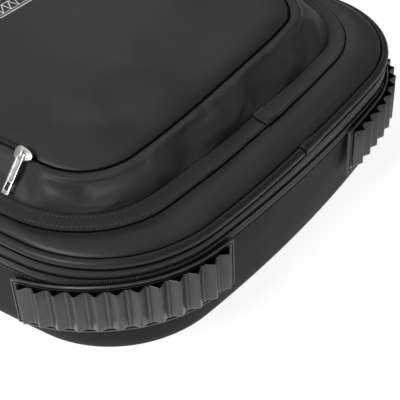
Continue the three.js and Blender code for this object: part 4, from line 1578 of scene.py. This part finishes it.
def add_foam_sheet(name, body, node, bumpy):
    """A foam pad; the one in the lid has egg-crate bumps on its underside."""
    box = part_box(node)
    low, high = box[0].z, box[1].z
    insets = [0.0, 1.2, 3, 6] + list(range(10, 80, 4))
    rings = [BODY_TRACK.ring(plan_inset(box) + step * MM, 0.0) for step in insets]
    rings += inner_rings(rings[-1], 26)
    lower, upper = [], []
    for k, ring in enumerate(rings):
        full = min(1.0, k / 3)
        x, y = 2 * math.pi * ring[:, 0] / EGG_SIZE, 2 * math.pi * ring[:, 1] / EGG_SIZE
        bumps = EGG_DEPTH * (1 + np.cos(x) * np.cos(y)) / 2 if bumpy else 0 * x
        lower.append(np.column_stack([ring[:, :2], low + bumps * full + FOAM_EDGE * (1 - full)]))
        dip = FOAM_EDGE * (1 - full) if k < 6 else 0.3 * MM
        height = high - dip + 0.25 * MM * waves(ring, 40 * MM) * full
        upper.append(np.column_stack([ring[:, :2], height]))
    pad = skin(name, [*reversed(lower), *upper], [FOAM], caps=(True, True))
    declare(pad, body, "foam", node)


add_inside()

# ---------------------------------------------------------------- handle

HANDLE_X = 62 * MM
HANDLE_Y = 232.6 * MM
HANDLE_Z = 54 * MM
RING_BAR_Z = HANDLE_Z - 13.4 * MM
STRAP_Z = 16 * MM
STRAP_HALF = 6 * MM
RING_HALF = 13.7 * MM
PATCH_HALF = 14 * MM
PATCH_Z = (34 * MM, 63 * MM)
PATCH_Y = (225 * MM, 229 * MM)
STITCH_MARGIN = 2 * MM
GRIP_SQUARENESS = 0.8


def webbing_loop(name, x, z, radius, half_width, half_thickness):
    """A short loop of webbing round a bar of a handle ring."""
    path = [(x, HANDLE_Y + radius * math.cos(a), z + radius * math.sin(a))
            for a in np.linspace(0, 2 * math.pi, 25)[:-1]]
    section = [(v, u) for u, v in flat_section(half_width, half_thickness, 0.4 * MM)]
    return sweep(name, path, section, WEB, True, width_axis=(1, 0, 0))


def add_rings_and_anchors():
    for side, label in ((-1, "left"), (1, "right")):
        x = side * HANDLE_X
        loop = rounded_box(x - RING_HALF, x + RING_HALF, RING_BAR_Z, HANDLE_Z, 3.2 * MM, 7)
        path = [(px, HANDLE_Y, pz) for px, pz in loop]
        ring = sweep(f"handle_wire_ring_{label}", path, circle_section(1.3 * MM), METAL, True)
        declare(ring, "handle", "nickel", f"handle_ring_{label}")

        patch_box = rounded_box(x - PATCH_HALF, x + PATCH_HALF, *PATCH_Z, 3 * MM, 6)
        patch = prism(f"patch_{label}", patch_box, -PATCH_Y[1], -PATCH_Y[0], [TRIM], 0.7 * MM,
                      segments=3)
        transform(patch, Matrix.Rotation(math.pi / 2, 4, "X"))
        sleeve = webbing_loop(f"sleeve_{label}", x, HANDLE_Z, 3.1 * MM, 9 * MM, 0.75 * MM)
        anchor = merge(f"handle_anchor_patch_{label}", [patch, sleeve])
        declare(anchor, "base", "leather", f"handle_anchor_{label}")
        half = PATCH_HALF - STITCH_MARGIN
        border = rounded_box(x - half, x + half, PATCH_Z[0] + STITCH_MARGIN,
                             PATCH_Z[1] - STITCH_MARGIN, 2 * MM, 6)
        line = np.array([(px, PATCH_Y[1] + 0.05 * MM, pz) for px, pz in border])
        thread = stitches(f"anchor_stitching_{label}", line, (0, 1, 0), THREAD)
        declare(thread, "base", "webbing")


def strap_path():
    top = RING_BAR_Z - 2.4 * MM
    turn = 9 * MM
    down = [(-HANDLE_X, z) for z in np.linspace(top, STRAP_Z + turn, 8)]
    bend = arc_points(-HANDLE_X + turn, STRAP_Z + turn, turn, 180, 270, 9)[1:]
    across = [(x, STRAP_Z) for x in np.linspace(-HANDLE_X + turn, 0, 14)[1:]]
    half = down + bend + across
    return half + [(-x, z) for x, z in reversed(half[:-1])]


def add_handle():
    path = [(x, HANDLE_Y, z) for x, z in strap_path()]
    band_piece = sweep("strap_band", path, flat_section(STRAP_HALF, 1.2 * MM, 0.7 * MM), WEB, False)
    loops = [webbing_loop(f"strap_loop{side}", side * HANDLE_X, RING_BAR_Z, 2.9 * MM, STRAP_HALF,
                          0.6 * MM) for side in (-1, 1)]
    strap = merge("handle_webbing_strap", [band_piece, *loops])
    declare(strap, "handle", "webbing", "handle_strap")

    low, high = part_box("handle_grip")
    half_length = high.x
    deep, tall = (high.y - low.y) / 2, (high.z - low.z) / 2
    middle = np.array([0, (high.y + low.y) / 2, (high.z + low.z) / 2])
    rows = []
    for t in np.concatenate([[-1, -0.985, -0.95], np.linspace(-0.88, 0.88, 23), [0.95, 0.985, 1]]):
        end = abs(t)
        swell = 0.80 + 0.20 * (1 - end**6) if end < 0.97 else 0.66
        row = []
        for k in range(36):
            a = 2 * math.pi * k / 36
            y = deep * swell * signed_power(math.cos(a), GRIP_SQUARENESS)
            z = tall * swell * signed_power(math.sin(a), GRIP_SQUARENESS)
            row.append(middle + np.array([t * half_length, y, z]))
        rows.append(row)
    grip = outward(skin("handle_padded_grip", rows, [LEATHER], caps=(True, True)))
    declare(grip, "handle", "leather", "handle_grip")
    for label, height in (("lower", -0.62), ("upper", 0.62)):
        line = np.array([(x, middle[1] + deep * 0.80, middle[2] + tall * height)
                         for x in np.linspace(-0.85, 0.85, 60) * half_length])
        thread = stitches(f"grip_stitching_{label}", line, (0, 1, 0), THREAD, closed=False)
        declare(thread, "handle", "webbing")


add_rings_and_anchors()
add_handle()
